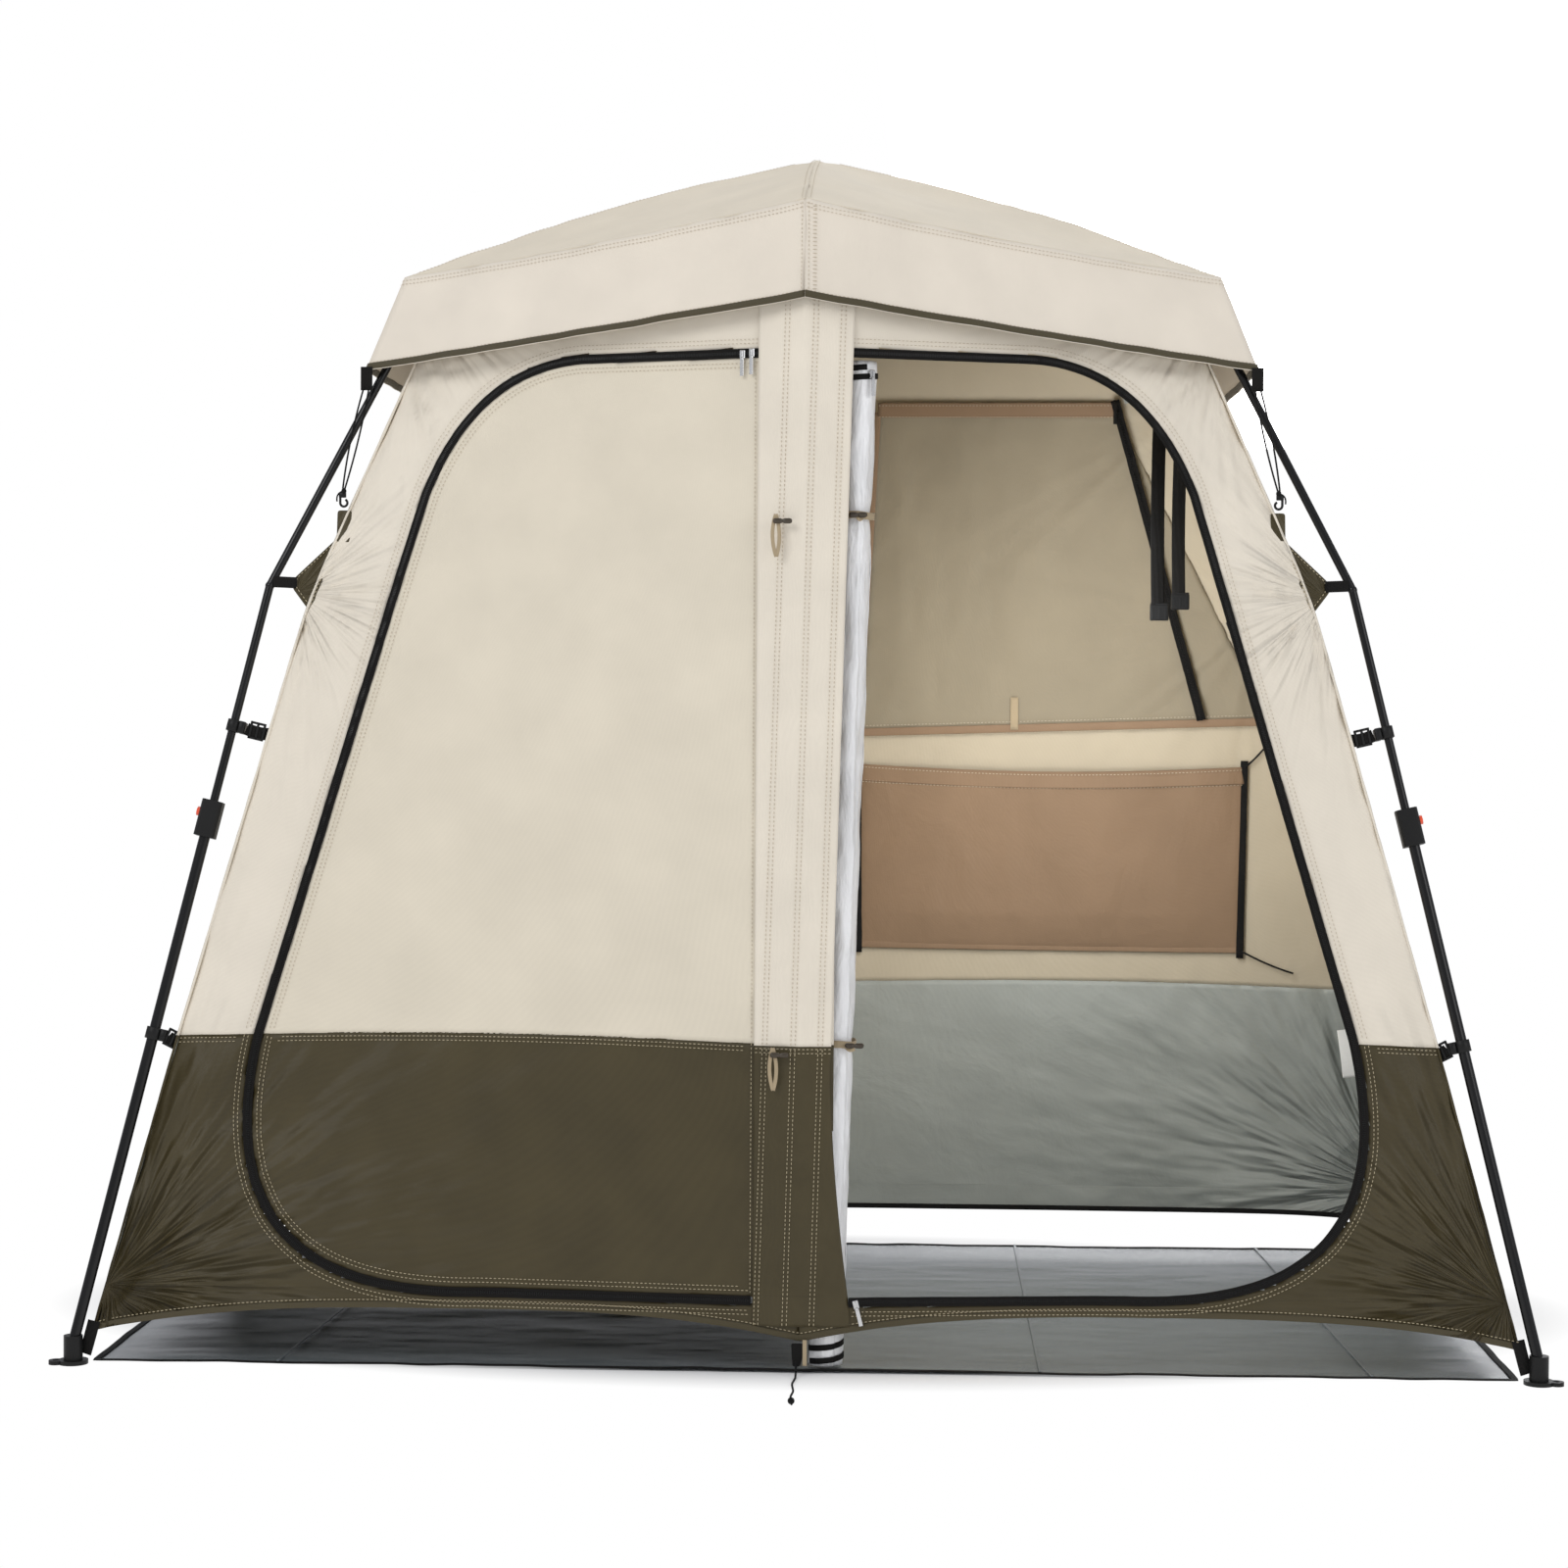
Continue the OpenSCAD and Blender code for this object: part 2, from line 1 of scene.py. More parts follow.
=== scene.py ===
import json
import math
from itertools import product
import bpy
import numpy as np
from mathutils import Euler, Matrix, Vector

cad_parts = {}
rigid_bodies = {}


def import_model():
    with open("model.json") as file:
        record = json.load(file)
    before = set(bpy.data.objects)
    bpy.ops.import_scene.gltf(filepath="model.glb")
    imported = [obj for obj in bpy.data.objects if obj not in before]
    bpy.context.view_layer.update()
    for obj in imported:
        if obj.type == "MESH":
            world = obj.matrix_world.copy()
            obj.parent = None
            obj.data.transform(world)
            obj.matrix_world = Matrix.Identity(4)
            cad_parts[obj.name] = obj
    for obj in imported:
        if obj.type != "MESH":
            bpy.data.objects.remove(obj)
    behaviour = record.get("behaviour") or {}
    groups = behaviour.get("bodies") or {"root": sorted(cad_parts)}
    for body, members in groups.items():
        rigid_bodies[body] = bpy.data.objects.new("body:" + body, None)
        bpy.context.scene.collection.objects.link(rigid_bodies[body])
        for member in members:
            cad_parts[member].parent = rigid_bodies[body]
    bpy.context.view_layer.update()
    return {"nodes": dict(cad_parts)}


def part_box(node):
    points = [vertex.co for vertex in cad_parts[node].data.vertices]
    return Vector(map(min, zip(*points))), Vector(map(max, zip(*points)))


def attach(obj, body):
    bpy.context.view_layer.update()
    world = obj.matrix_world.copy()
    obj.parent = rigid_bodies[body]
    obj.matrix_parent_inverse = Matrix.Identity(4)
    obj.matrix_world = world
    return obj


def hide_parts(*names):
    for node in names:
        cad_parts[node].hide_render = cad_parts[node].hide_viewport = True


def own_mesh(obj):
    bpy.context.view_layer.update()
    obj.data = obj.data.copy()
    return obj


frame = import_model()

# ---------------------------------------------------------------- sizes, in metres
# The first ones are read from the frame. The others repeat the design's own values.

HEM_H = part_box("band_left")[0][2]
BAND_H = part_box("band_left")[1][2]
EAVE_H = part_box("wall_left")[1][2]
HEM_W = -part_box("band_left")[0][0]
HEM_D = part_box("band_left")[1][1]
SEAM_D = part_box("wall_back")[1][1]
CAP_W, CAP_D, PEAK_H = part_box("roof_cap")[1]
GUSSET_H = 1.14
CAP_CORNER_D = 0.313
CAP_CORNER_H = 1.640
CAP_SEAM_H = 1.719
VALANCE_DROP = 0.147
VALANCE_FLARE = 0.055
SEAM_LIFT = 0.09
LEVELS = np.array([HEM_H, BAND_H, GUSSET_H, EAVE_H])
HALF_W = np.array([HEM_W, 0.937, 0.760, 0.570])
HALF_D = np.array([HEM_D, 0.487, 0.387, 0.306])
DOOR_SIDE = 0.048
DOOR_TOP = 1.505
DOOR_FOOT = 0.100
LEG_BEND = np.array([0.820, 0.393, 1.160])
LEG_FOOT = np.array([1.077, 0.556, 0.030])
LEG_DIR = (LEG_BEND - LEG_FOOT) / np.linalg.norm(LEG_BEND - LEG_FOOT)
LOWER_CLIP_AT = 0.462
UPPER_CLIP_AT = 0.940
LOWER_R = 0.0082
UPPER_R = 0.00635


# ---------------------------------------------------------------- camera, light and stage

WHITE = (1, 1, 1, 1)
PAPER_W, PAPER_D = 1.12, 0.60
FLOOR_HALF, FLOOR_H = 30.0, -0.0005


def add_object(name, data):
    piece = bpy.data.objects.new(name, data)
    bpy.context.scene.collection.objects.link(piece)
    return piece


def make_camera():
    data = bpy.data.cameras.new("camera")
    data.sensor_width = 36.0
    data.lens = 70.35
    data.clip_end = 100
    cam = add_object("camera", data)
    cam.location = (0.154, -5.035, 0.961)
    pitch, yaw, roll = -0.0211, 0.0404, 0.0059
    base = Euler((math.pi / 2 + pitch, 0, yaw), "XYZ").to_quaternion()
    cam.rotation_mode = "QUATERNION"
    cam.rotation_quaternion = base @ Euler((0, 0, roll), "XYZ").to_quaternion()
    bpy.context.scene.camera = cam


def area_light(name, place, target, size, power, colour=(1, 1, 1), seen=True):
    data = bpy.data.lights.new(name, "AREA")
    data.shape = "RECTANGLE"
    data.size, data.size_y = size
    data.energy = power
    data.color = colour
    lamp = add_object(name, data)
    lamp.visible_camera = seen
    lamp.location = place
    lamp.rotation_mode = "QUATERNION"
    lamp.rotation_quaternion = (Vector(target) - Vector(place)).to_track_quat("-Z", "Y")


def show_white(tree, sky):
    """The camera sees plain white where the light rays see the soft sky."""
    white = node(tree, "Background", 0, {0: WHITE, 1: 1.0})
    camera_ray = node(tree, "LightPath", "Is Camera Ray")
    mix = node(tree, "MixShader", 0, {0: camera_ray, 1: sky.outputs[0], 2: white})
    tree.links.new(mix, tree.nodes["World Output"].inputs["Surface"])


def floor_material():
    """White paper near the tent that turns into the plain white of the backdrop further out."""
    mat, tree, surface = new_material("floor_paper")
    fill(tree, surface, {"Base Color": (0.94, 0.94, 0.94, 1), "Roughness": 0.95, "Specular IOR Level": 0.0})
    place = scaled_coords(tree, (1 / PAPER_W, 1 / PAPER_D, 1))
    reach = node(tree, "VectorMath", "Value", {0: place}, operation="LENGTH")
    fade = node(tree, "MapRange", "Result", {"Value": reach, "From Min": 0.92, "From Max": 1.12})
    glow = node(tree, "Emission", 0, {"Color": WHITE})
    mix = node(tree, "MixShader", 0, {0: fade, 1: surface.outputs[0], 2: glow})
    tree.links.new(mix, tree.nodes["Material Output"].inputs["Surface"])
    return mat


def make_studio():
    area_light("key", (-3.2, -4.2, 4.2), (0, 0, 0.8), (3.0, 2.4), 105)
    area_light("fill", (4.0, -3.6, 2.6), (0, 0, 0.9), (3.0, 2.6), 55)
    area_light("top", (0.2, 0.8, 5.0), (0, 0, 0.5), (3.5, 3.0), 45)
    area_light("back", (1.5, 5.0, 3.0), (0, 0, 0.8), (3.0, 2.4), 60)
    area_light("room", (0.34, -0.22, 0.95), (0.40, 0.5, 0.75), (0.30, 0.70), 6.5, (0.96, 0.98, 1.0),
               seen=False)
    world = bpy.data.worlds.new("studio")
    bpy.context.scene.world = world
    world.use_nodes = True
    sky = world.node_tree.nodes["Background"]
    sky.inputs[0].default_value = (0.93, 0.95, 1.0, 1)
    sky.inputs[1].default_value = 0.50
    show_white(world.node_tree, sky)
    bpy.context.scene.view_settings.view_transform = "Standard"
    mesh = bpy.data.meshes.new("floor")
    corners = [(x * FLOOR_HALF, y * FLOOR_HALF, FLOOR_H) for x, y in ((-1, -1), (1, -1), (1, 1), (-1, 1))]
    mesh.from_pydata(corners, [], [(0, 1, 2, 3)])
    floor = add_object("floor", mesh)
    mesh.materials.append(floor_material())


# ---------------------------------------------------------------- materials

# Where the cloth is pulled: (x, z) on each side, how far the folds reach, how many there are, how deep
PULLS = ((1.030, 0.115, 0.36, 6.5, 0.0270), (0.780, 1.150, 0.22, 5.0, 0.0130),
         (0.630, 1.640, 0.22, 6.0, 0.0135))


def new_material(name):
    """(material, its node tree, its surface node)."""
    mat = bpy.data.materials.new(name)
    mat.use_nodes = True
    return mat, mat.node_tree, mat.node_tree.nodes["Principled BSDF"]


def fill(tree, target, inputs):
    """Sets a node's inputs, or links them where the value is another node's output."""
    for socket, value in inputs.items():
        if isinstance(value, bpy.types.NodeSocket):
            tree.links.new(value, target.inputs[socket])
        else:
            target.inputs[socket].default_value = value


def node(tree, kind, outlet, inputs=None, **settings):
    """Adds a shader node and gives its output, or all its outputs where outlet is None."""
    made = tree.nodes.new("ShaderNode" + kind)
    for key, value in settings.items():
        setattr(made, key, value)
    fill(tree, made, inputs or {})
    return made.outputs if outlet is None else made.outputs[outlet]


def scaled_coords(tree, scale):
    coords = node(tree, "TexCoord", "Object")
    return node(tree, "Mapping", "Vector", {"Vector": coords, "Scale": scale})


def noise_at(tree, place, scale, detail):
    return node(tree, "TexNoise", "Fac", {"Vector": place, "Scale": scale, "Detail": detail})


def bump(tree, height, strength, distance, normal=None):
    under = {} if normal is None else {"Normal": normal}
    return node(tree, "Bump", "Normal", {"Strength": strength, "Distance": distance, "Height": height, **under})


def tinted(tree, factor, colour, low, high):
    """The colour, from a darker to a lighter tint as the factor grows."""
    ramp = tree.nodes.new("ShaderNodeValToRGB")
    shades = ([c * low for c in colour], [min(1, c * high) for c in colour])
    for stop, place, shade in zip(ramp.color_ramp.elements, (0.3, 0.7), shades):
        stop.position = place
        stop.color = shade + [1]
    fill(tree, ramp, {"Fac": factor})
    return ramp.outputs["Color"]


def pull_folds(tree, normal, strength):
    """Folds that radiate from the points where the cloth is pulled, as a normal for the shader."""
    def maths(kind, a, b=0.0):
        return node(tree, "Math", 0, {0: a, 1: b}, operation=kind)

    at = node(tree, "SeparateXYZ", None, {0: node(tree, "TexCoord", "Object")})
    across = maths("ABSOLUTE", at["X"])
    for cx, cz, reach, count, deep in PULLS:
        dx, dz = maths("SUBTRACT", across, cx), maths("SUBTRACT", at["Z"], cz)
        far = maths("SQRT", maths("ADD", maths("MULTIPLY", dx, dx), maths("MULTIPLY", dz, dz)))
        place = node(tree, "CombineXYZ", 0, {
            "X": maths("MULTIPLY", maths("ARCTAN2", dz, dx), count),
            "Y": maths("MULTIPLY", far, 4.0),
            "Z": maths("MULTIPLY", at["X"], 1.3)})
        decay = maths("EXPONENT", maths("MULTIPLY", far, -1.0 / reach))
        start = maths("MINIMUM", maths("MULTIPLY", far, 9.0), 1.0)
        height = maths("MULTIPLY", noise_at(tree, place, 1.0, 2.0), maths("MULTIPLY", decay, start))
        normal = bump(tree, height, strength, deep * 4.0, normal)
    return normal


def fabric(name, colour, rough=0.8, period=0.0011, weave=0.25, creases=0.35, crease_scale=(7, 7, 7),
           sheen=0.15, spread=(0.94, 1.04), coat=0.0, metallic=0.0, specular=0.35, pulled=0.0):
    """Woven cloth: threads, soft creases and a faint mottling of the colour."""
    mat, tree, surface = new_material(name)
    place = scaled_coords(tree, (1, 1, 1))
    waves = [node(tree, "TexWave", "Fac", {"Vector": place, "Scale": 0.314 / period, "Distortion": 0.6,
                                           "Detail": 0.0}, bands_direction=way) for way in "XYZ"]
    add = {"operation": "ADD"}
    threads = node(tree, "Math", 0, {0: node(tree, "Math", 0, {0: waves[0], 1: waves[1]}, **add),
                                     1: waves[2]}, **add)
    crease = node(tree, "TexNoise", "Fac", {"Vector": scaled_coords(tree, crease_scale), "Scale": 1.0,
                                            "Detail": 5.0, "Roughness": 0.55, "Distortion": 0.4})
    shaped = bump(tree, crease, creases, 0.012)
    if pulled:
        shaped = pull_folds(tree, shaped, pulled)
    mottle = noise_at(tree, scaled_coords(tree, (9, 9, 9)), 1.0, 6.0)
    parts = [node(tree, "Math", 0, {0: value, 1: share}, operation="MULTIPLY")
             for value, share in ((mottle, 0.8), (threads, 0.066))]
    mixed = node(tree, "Math", 0, dict(enumerate(parts)), **add)
    fill(tree, surface, {
        "Normal": bump(tree, threads, weave, 0.0003, shaped),
        "Base Color": tinted(tree, mixed, colour, *spread), "Roughness": rough,
        "Sheen Weight": sheen, "Sheen Roughness": 0.5, "Coat Weight": coat, "Coat Roughness": 0.25,
        "Metallic": metallic, "Specular IOR Level": specular})
    return mat


def moulded(name, colour, rough=0.4, grain=0.15, metallic=0.0, coat=0.0, spread=(0.85, 1.15), specular=0.5):
    """Moulded plastic or painted metal: fine grain and uneven gloss."""
    mat, tree, surface = new_material(name)
    grains = noise_at(tree, scaled_coords(tree, (1, 1, 1)), 900.0, 3.0)
    smear = noise_at(tree, scaled_coords(tree, (1, 1, 0.3)), 22.0, 4.0)
    gloss = {"Value": smear, "To Min": max(0.02, rough - 0.07), "To Max": rough + 0.09}
    fill(tree, surface, {
        "Normal": bump(tree, grains, grain, 0.0002),
        "Base Color": tinted(tree, smear, colour, *spread),
        "Roughness": node(tree, "MapRange", "Result", gloss), "Metallic": metallic,
        "Specular IOR Level": specular, "Coat Weight": coat, "Coat Roughness": 0.12})
    return mat


MAT = {}


def make_materials():
    matt_black = dict(sheen=0.03, specular=0.12)
    thread = dict(rough=0.6, period=0.0006, weave=0.5, creases=0.0)
    MAT.update(
        beige=fabric("beige_cloth", (0.76, 0.695, 0.590), 0.72, creases=0.30, crease_scale=(6, 6, 5),
                     pulled=0.8),
        door=fabric("door_cloth", (0.71, 0.645, 0.525), 0.72, creases=0.30, crease_scale=(6, 6, 5)),
        olive=fabric("olive_cloth", (0.058, 0.045, 0.019), 0.40, creases=0.30, crease_scale=(5, 5, 7),
                     spread=(0.86, 1.14), sheen=0.0, specular=0.30, pulled=1.0),
        roof=fabric("roof_cloth", (0.69, 0.615, 0.49), 0.68, creases=0.32, crease_scale=(8, 8, 6)),
        valance=fabric("valance_cloth", (0.76, 0.69, 0.59), 0.68, creases=0.34, crease_scale=(7, 7, 5)),
        binding=fabric("olive_binding", (0.060, 0.047, 0.020), 0.6, creases=0.4, crease_scale=(30, 30, 60)),
        tan=fabric("tan_lining", (0.50, 0.43, 0.315), 0.75, creases=0.5, crease_scale=(6, 6, 5)),
        grey_in=fabric("grey_lining", (0.33, 0.345, 0.315), 0.42, creases=0.5, crease_scale=(8, 8, 8),
                       pulled=0.9),
        flap=fabric("window_flap_cloth", (0.29, 0.245, 0.170), 0.75, creases=0.4, crease_scale=(8, 8, 6)),
        pocket=fabric("pocket_cloth", (0.255, 0.165, 0.098), 0.7, creases=0.5, crease_scale=(10, 10, 8)),
        silver=fabric("silver_cloth", (0.86, 0.86, 0.87), 0.38, creases=0.6, crease_scale=(30, 30, 9),
                      metallic=0.15, spread=(0.90, 1.08), sheen=0.05),
        ground=fabric("ground_cloth", (0.19, 0.215, 0.225), 0.22, creases=0.22, crease_scale=(5, 16, 16),
                      spread=(0.90, 1.10), sheen=0.0, coat=0.9, specular=0.8),
        webbing=fabric("black_webbing", (0.008, 0.0075, 0.007), 0.6, period=0.0016, weave=0.8, creases=0.1,
                       crease_scale=(60, 60, 60), spread=(0.7, 1.4), **matt_black),
        tan_web=fabric("tan_webbing", (0.42, 0.33, 0.21), 0.7, period=0.0016, weave=0.8, creases=0.1),
        tape=fabric("zip_tape_cloth", (0.008, 0.0072, 0.0066), 0.62, period=0.0012, weave=0.7, creases=0.1,
                    crease_scale=(50, 50, 50), spread=(0.75, 1.3), **matt_black),
        teeth=moulded("zip_teeth", (0.010, 0.010, 0.010), 0.3, specular=0.25),
        thread=fabric("cream_thread", (0.50, 0.425, 0.28), **thread),
        thread_beige=fabric("beige_thread", (0.55, 0.47, 0.355), **thread),
        cord=fabric("black_cord", (0.008, 0.008, 0.008), 0.6, period=0.0010, weave=0.9, creases=0.0,
                    spread=(0.7, 1.5), **matt_black),
        plastic=moulded("black_plastic", (0.009, 0.009, 0.009), 0.42, 0.25, specular=0.22),
        tube=moulded("gloss_black_tube", (0.006, 0.006, 0.0065), 0.24, 0.05, coat=0.12, specular=0.25),
        orange=moulded("orange_button", (0.86, 0.085, 0.022), 0.28, 0.1, coat=0.4, spread=(0.95, 1.05)),
        brown=moulded("brown_toggle", (0.045, 0.033, 0.020), 0.35, 0.2),
        steel=moulded("puller_metal", (0.62, 0.62, 0.62), 0.25, 0.05, metallic=1.0, spread=(0.92, 1.05)),
        label=fabric("care_label", (0.80, 0.79, 0.76), 0.6, creases=0.2))


# ---------------------------------------------------------------- numbers and shapes

def lattice(ix, iy, iz, seed):
    h = np.sin(ix * 127.1 + iy * 311.7 + iz * 74.7 + seed * 53.3) * 43758.5453
    return (h - np.floor(h)) * 2 - 1


def noise3(x, y, z=0.0, seed=0):
    """Smooth noise from -1 to 1 on a unit lattice."""
    x, y, z = np.broadcast_arrays(np.asarray(x, float), np.asarray(y, float), np.asarray(z, float))
    i, j, k = np.floor(x), np.floor(y), np.floor(z)
    fx, fy, fz = x - i, y - j, z - k
    fx, fy, fz = (f * f * (3 - 2 * f) for f in (fx, fy, fz))
    total = 0.0
    for a in (0, 1):
        for b in (0, 1):
            for c in (0, 1):
                w = (fx if a else 1 - fx) * (fy if b else 1 - fy) * (fz if c else 1 - fz)
                total = total + w * lattice(i + a, j + b, k + c, seed)
    return total


def fractal(x, y, z=0.0, seed=0, octaves=3):
    total, amp, s = 0.0, 1.0, 1.0
    for o in range(octaves):
        total = total + amp * noise3(np.asarray(x) * s, np.asarray(y) * s, np.asarray(z) * s, seed + 17 * o)
        amp *= 0.5
        s *= 2.1
    return total


def smooth_interp(h, values):
    """Linear between the levels, eased where they meet."""
    steps = np.linspace(-0.05, 0.05, 7)
    ends = np.clip(np.asarray(h, float)[..., None] + steps, LEVELS[0] - 0.05, LEVELS[-1] + 0.05)
    grown = np.interp(ends, LEVELS, values)
    low = values[0] + (values[1] - values[0]) * (ends - LEVELS[0]) / (LEVELS[1] - LEVELS[0])
    high = values[3] + (values[3] - values[2]) * (ends - LEVELS[3]) / (LEVELS[3] - LEVELS[2])
    grown = np.where(ends < LEVELS[0], low, np.where(ends > LEVELS[3], high, grown))
    return grown.mean(-1)


def half_w(h):
    return smooth_interp(h, HALF_W)


def half_d(h):
    return smooth_interp(h, HALF_D)


def seam_lift(h):
    t = np.clip((np.asarray(h, float) - GUSSET_H) / (EAVE_H - GUSSET_H), 0, 1)
    return SEAM_LIFT * t * t * (1.6 - 0.6 * t)


def level_at(x, z):
    """(fraction from the centre seam to the corner, corner height) of a point on a long wall."""
    x = np.abs(np.asarray(x, float))
    z = np.asarray(z, float)
    h = z.copy()
    for _ in range(6):
        u = np.clip(x / half_w(h), 0, 1.2)
        h = z - (1 - u) * seam_lift(h)
    return u, h


def long_wall_y(x, z):
    """Distance of the long walls from the middle plane."""
    u, h = level_at(x, z)
    return (1 - u) * SEAM_D + u * half_d(h)


def around(angle, radius=1.0):
    """Points on a level circle about the origin."""
    return np.stack([radius * np.cos(angle), radius * np.sin(angle), 0 * angle], -1)


def node_box(name):
    return [np.array(corner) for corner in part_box(name)]


def bend(a, b, c, n):
    t = np.linspace(0, 1, n + 1)[:, None]
    a, b, c = (np.array(p, float) for p in (a, b, c))
    return (1 - t) ** 2 * a + 2 * t * (1 - t) * b + t * t * c


def door_curve():
    """Outline of the right-hand door in x and z, going round from the foot of its straight side."""
    top = bend((0.340, DOOR_TOP), (0.513, DOOR_TOP - 0.009), (0.586, DOOR_TOP - 0.203), 30)
    foot = bend((0.817, 0.493), (0.905, 0.095), (0.475, DOOR_FOOT + 0.008), 40)
    points = [[(DOOR_SIDE, DOOR_FOOT + 0.002)], [(DOOR_SIDE, DOOR_TOP - 0.002)], top, foot]
    corners = np.vstack([np.array(p, float).reshape(-1, 2) for p in points])
    return resample(np.vstack([corners, corners[:1]]), 0.006)


def resample(points, step):
    points = np.asarray(points, float)
    gaps = np.linalg.norm(np.diff(points, axis=0), axis=1)
    along = np.r_[0, np.cumsum(gaps)]
    n = max(2, int(round(along[-1] / step)) + 1)
    t = np.linspace(0, along[-1], n)
    return np.stack([np.interp(t, along, points[:, k]) for k in range(points.shape[1])], 1)


def outline_distance(curve, x, z):
    """(distance inside the closed curve, nearest point x, nearest point z)."""
    p = np.stack([np.ravel(x), np.ravel(z)], 1)
    best = np.full(len(p), 1e9)
    near = np.zeros_like(p)
    inside = np.zeros(len(p), bool)
    for a, b in zip(curve[:-1], curve[1:]):
        ab = b - a
        t = np.clip(((p - a) @ ab) / max(ab @ ab, 1e-12), 0, 1)
        q = a + t[:, None] * ab
        d = np.linalg.norm(p - q, axis=1)
        closer = d < best
        best[closer] = d[closer]
        near[closer] = q[closer]
        if a[1] != b[1]:
            crosses = (a[1] > p[:, 1]) != (b[1] > p[:, 1])
            where = (b[0] - a[0]) * (p[:, 1] - a[1]) / (b[1] - a[1]) + a[0]
            inside ^= crosses & (p[:, 0] < where)
    shape = np.shape(x)
    return np.where(inside, best, -best).reshape(shape), near[:, 0].reshape(shape), near[:, 1].reshape(shape)


CLOTH = 0.0011
MADE = {}


def link_mesh(name, verts, faces, mats, body="shell", flat=True, smooth=True, stands_for=(), slot=None):
    """Makes a piece, puts it on its body, hides the parts it stands for and records whether it is flat."""
    mesh = bpy.data.meshes.new(name)
    mesh.from_pydata([tuple(v) for v in np.asarray(verts, float).tolist()], [], [tuple(f) for f in faces])
    mats = [mats] if isinstance(mats, str) else mats
    for m in mats:
        mesh.materials.append(MAT[m])
    mesh.polygons.foreach_set("use_smooth", [smooth] * len(mesh.polygons))
    mesh.validate()
    mesh.update()
    piece = add_object(name, mesh)
    settle(piece, body, flat, stands_for)
    MADE[name] = piece
    return piece


def small_parts(name, parts, mat, **kind):
    """A piece made of many small parts, shaded flat."""
    return link_mesh(name, *joined(parts), mat, smooth=False, **kind)


def settle(piece, body, flat, stands_for):
    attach(piece, body)
    if stands_for:
        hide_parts(*stands_for)
    piece["flat"] = flat


def thicken(piece, thickness=CLOTH):
    """Gives a sheet its thickness inwards, with its second material on the inner face."""
    mod = piece.modifiers.new("solidify", "SOLIDIFY")
    mod.thickness, mod.offset = thickness, -1.0
    mod.material_offset = 1 if len(piece.data.materials) > 1 else 0
    depsgraph = bpy.context.evaluated_depsgraph_get()
    made = bpy.data.meshes.new_from_object(piece.evaluated_get(depsgraph))
    piece.modifiers.clear()
    old = piece.data
    piece.data = made
    bpy.data.meshes.remove(old)
    return piece


def grid(rows, cols):
    """Two arrays, of each point's row value and column value."""
    return np.meshgrid(rows, cols, indexing="ij")


def grid_faces(rows, cols, flip=False):
    i, j = grid(np.arange(rows - 1), np.arange(cols - 1))
    a = (i * cols + j).ravel()
    quads = np.stack([a, a + 1, a + cols + 1, a + cols], 1)
    return quads[:, ::-1] if flip else quads


def unit(vectors):
    return vectors / np.maximum(np.linalg.norm(vectors, axis=-1, keepdims=True), 1e-9)


def tangents(path):
    return unit(np.gradient(path, axis=0))


FORWARD, BACKWARD, UP = (0, -1, 0), (0, 1, 0), (0, 0, 1)


def facing(direction, n):
    """The same normal n times."""
    return np.tile(np.asarray(direction, float), (n, 1))


def sideways(path, normals):
    """The direction across a path that lies on a surface."""
    return unit(np.cross(tangents(path), normals))


def sweep_faces(n, k, caps=True):
    """Faces around n rings of k points, with both ends closed."""
    faces = [(i * k + j, i * k + (j + 1) % k, (i + 1) * k + (j + 1) % k, (i + 1) * k + j)
             for i in range(n - 1) for j in range(k)]
    if caps:
        faces += [tuple(range(k - 1, -1, -1)), tuple((n - 1) * k + j for j in range(k))]
    return faces


def ribbon(path, normals, width, thick, closed=False):
    """Strip with softly rounded edges along a path. Returns (verts, faces)."""
    t = tangents(path)
    if closed:
        t[0] = t[-1] = (t[0] + t[-1]) / 2
    side = unit(np.cross(t, normals))
    w, h = width / 2, thick
    section = [(-w, 0), (-w, h * 0.7), (-w * 0.86, h), (w * 0.86, h), (w, h * 0.7), (w, 0)]
    verts = np.concatenate([[path + side * a + normals * b] for a, b in section])
    return verts.transpose(1, 0, 2).reshape(-1, 3), sweep_faces(len(path), len(section))


def tube(path, radius, sides=8, caps=True):
    """Round tube along a path. Returns (verts, faces)."""
    path = np.asarray(path, float)
    t = tangents(path)
    up = np.array([0, 0, 1.0]) if abs(t[0][2]) < 0.9 else np.array([1.0, 0, 0])
    verts = []
    radius = np.broadcast_to(radius, (len(path),))
    for p, d, r in zip(path, t, radius):
        u = up - d * (up @ d)
        u /= max(np.linalg.norm(u), 1e-9)
        up = u
        w = np.cross(d, u)
        for k in range(sides):
            a = 2 * math.pi * k / sides
            verts.append(p + r * (math.cos(a) * u + math.sin(a) * w))
    return np.array(verts), sweep_faces(len(path), sides, caps)


STITCH, STITCH_GAP, THREAD_R = 0.0042, 0.0022, 0.00055


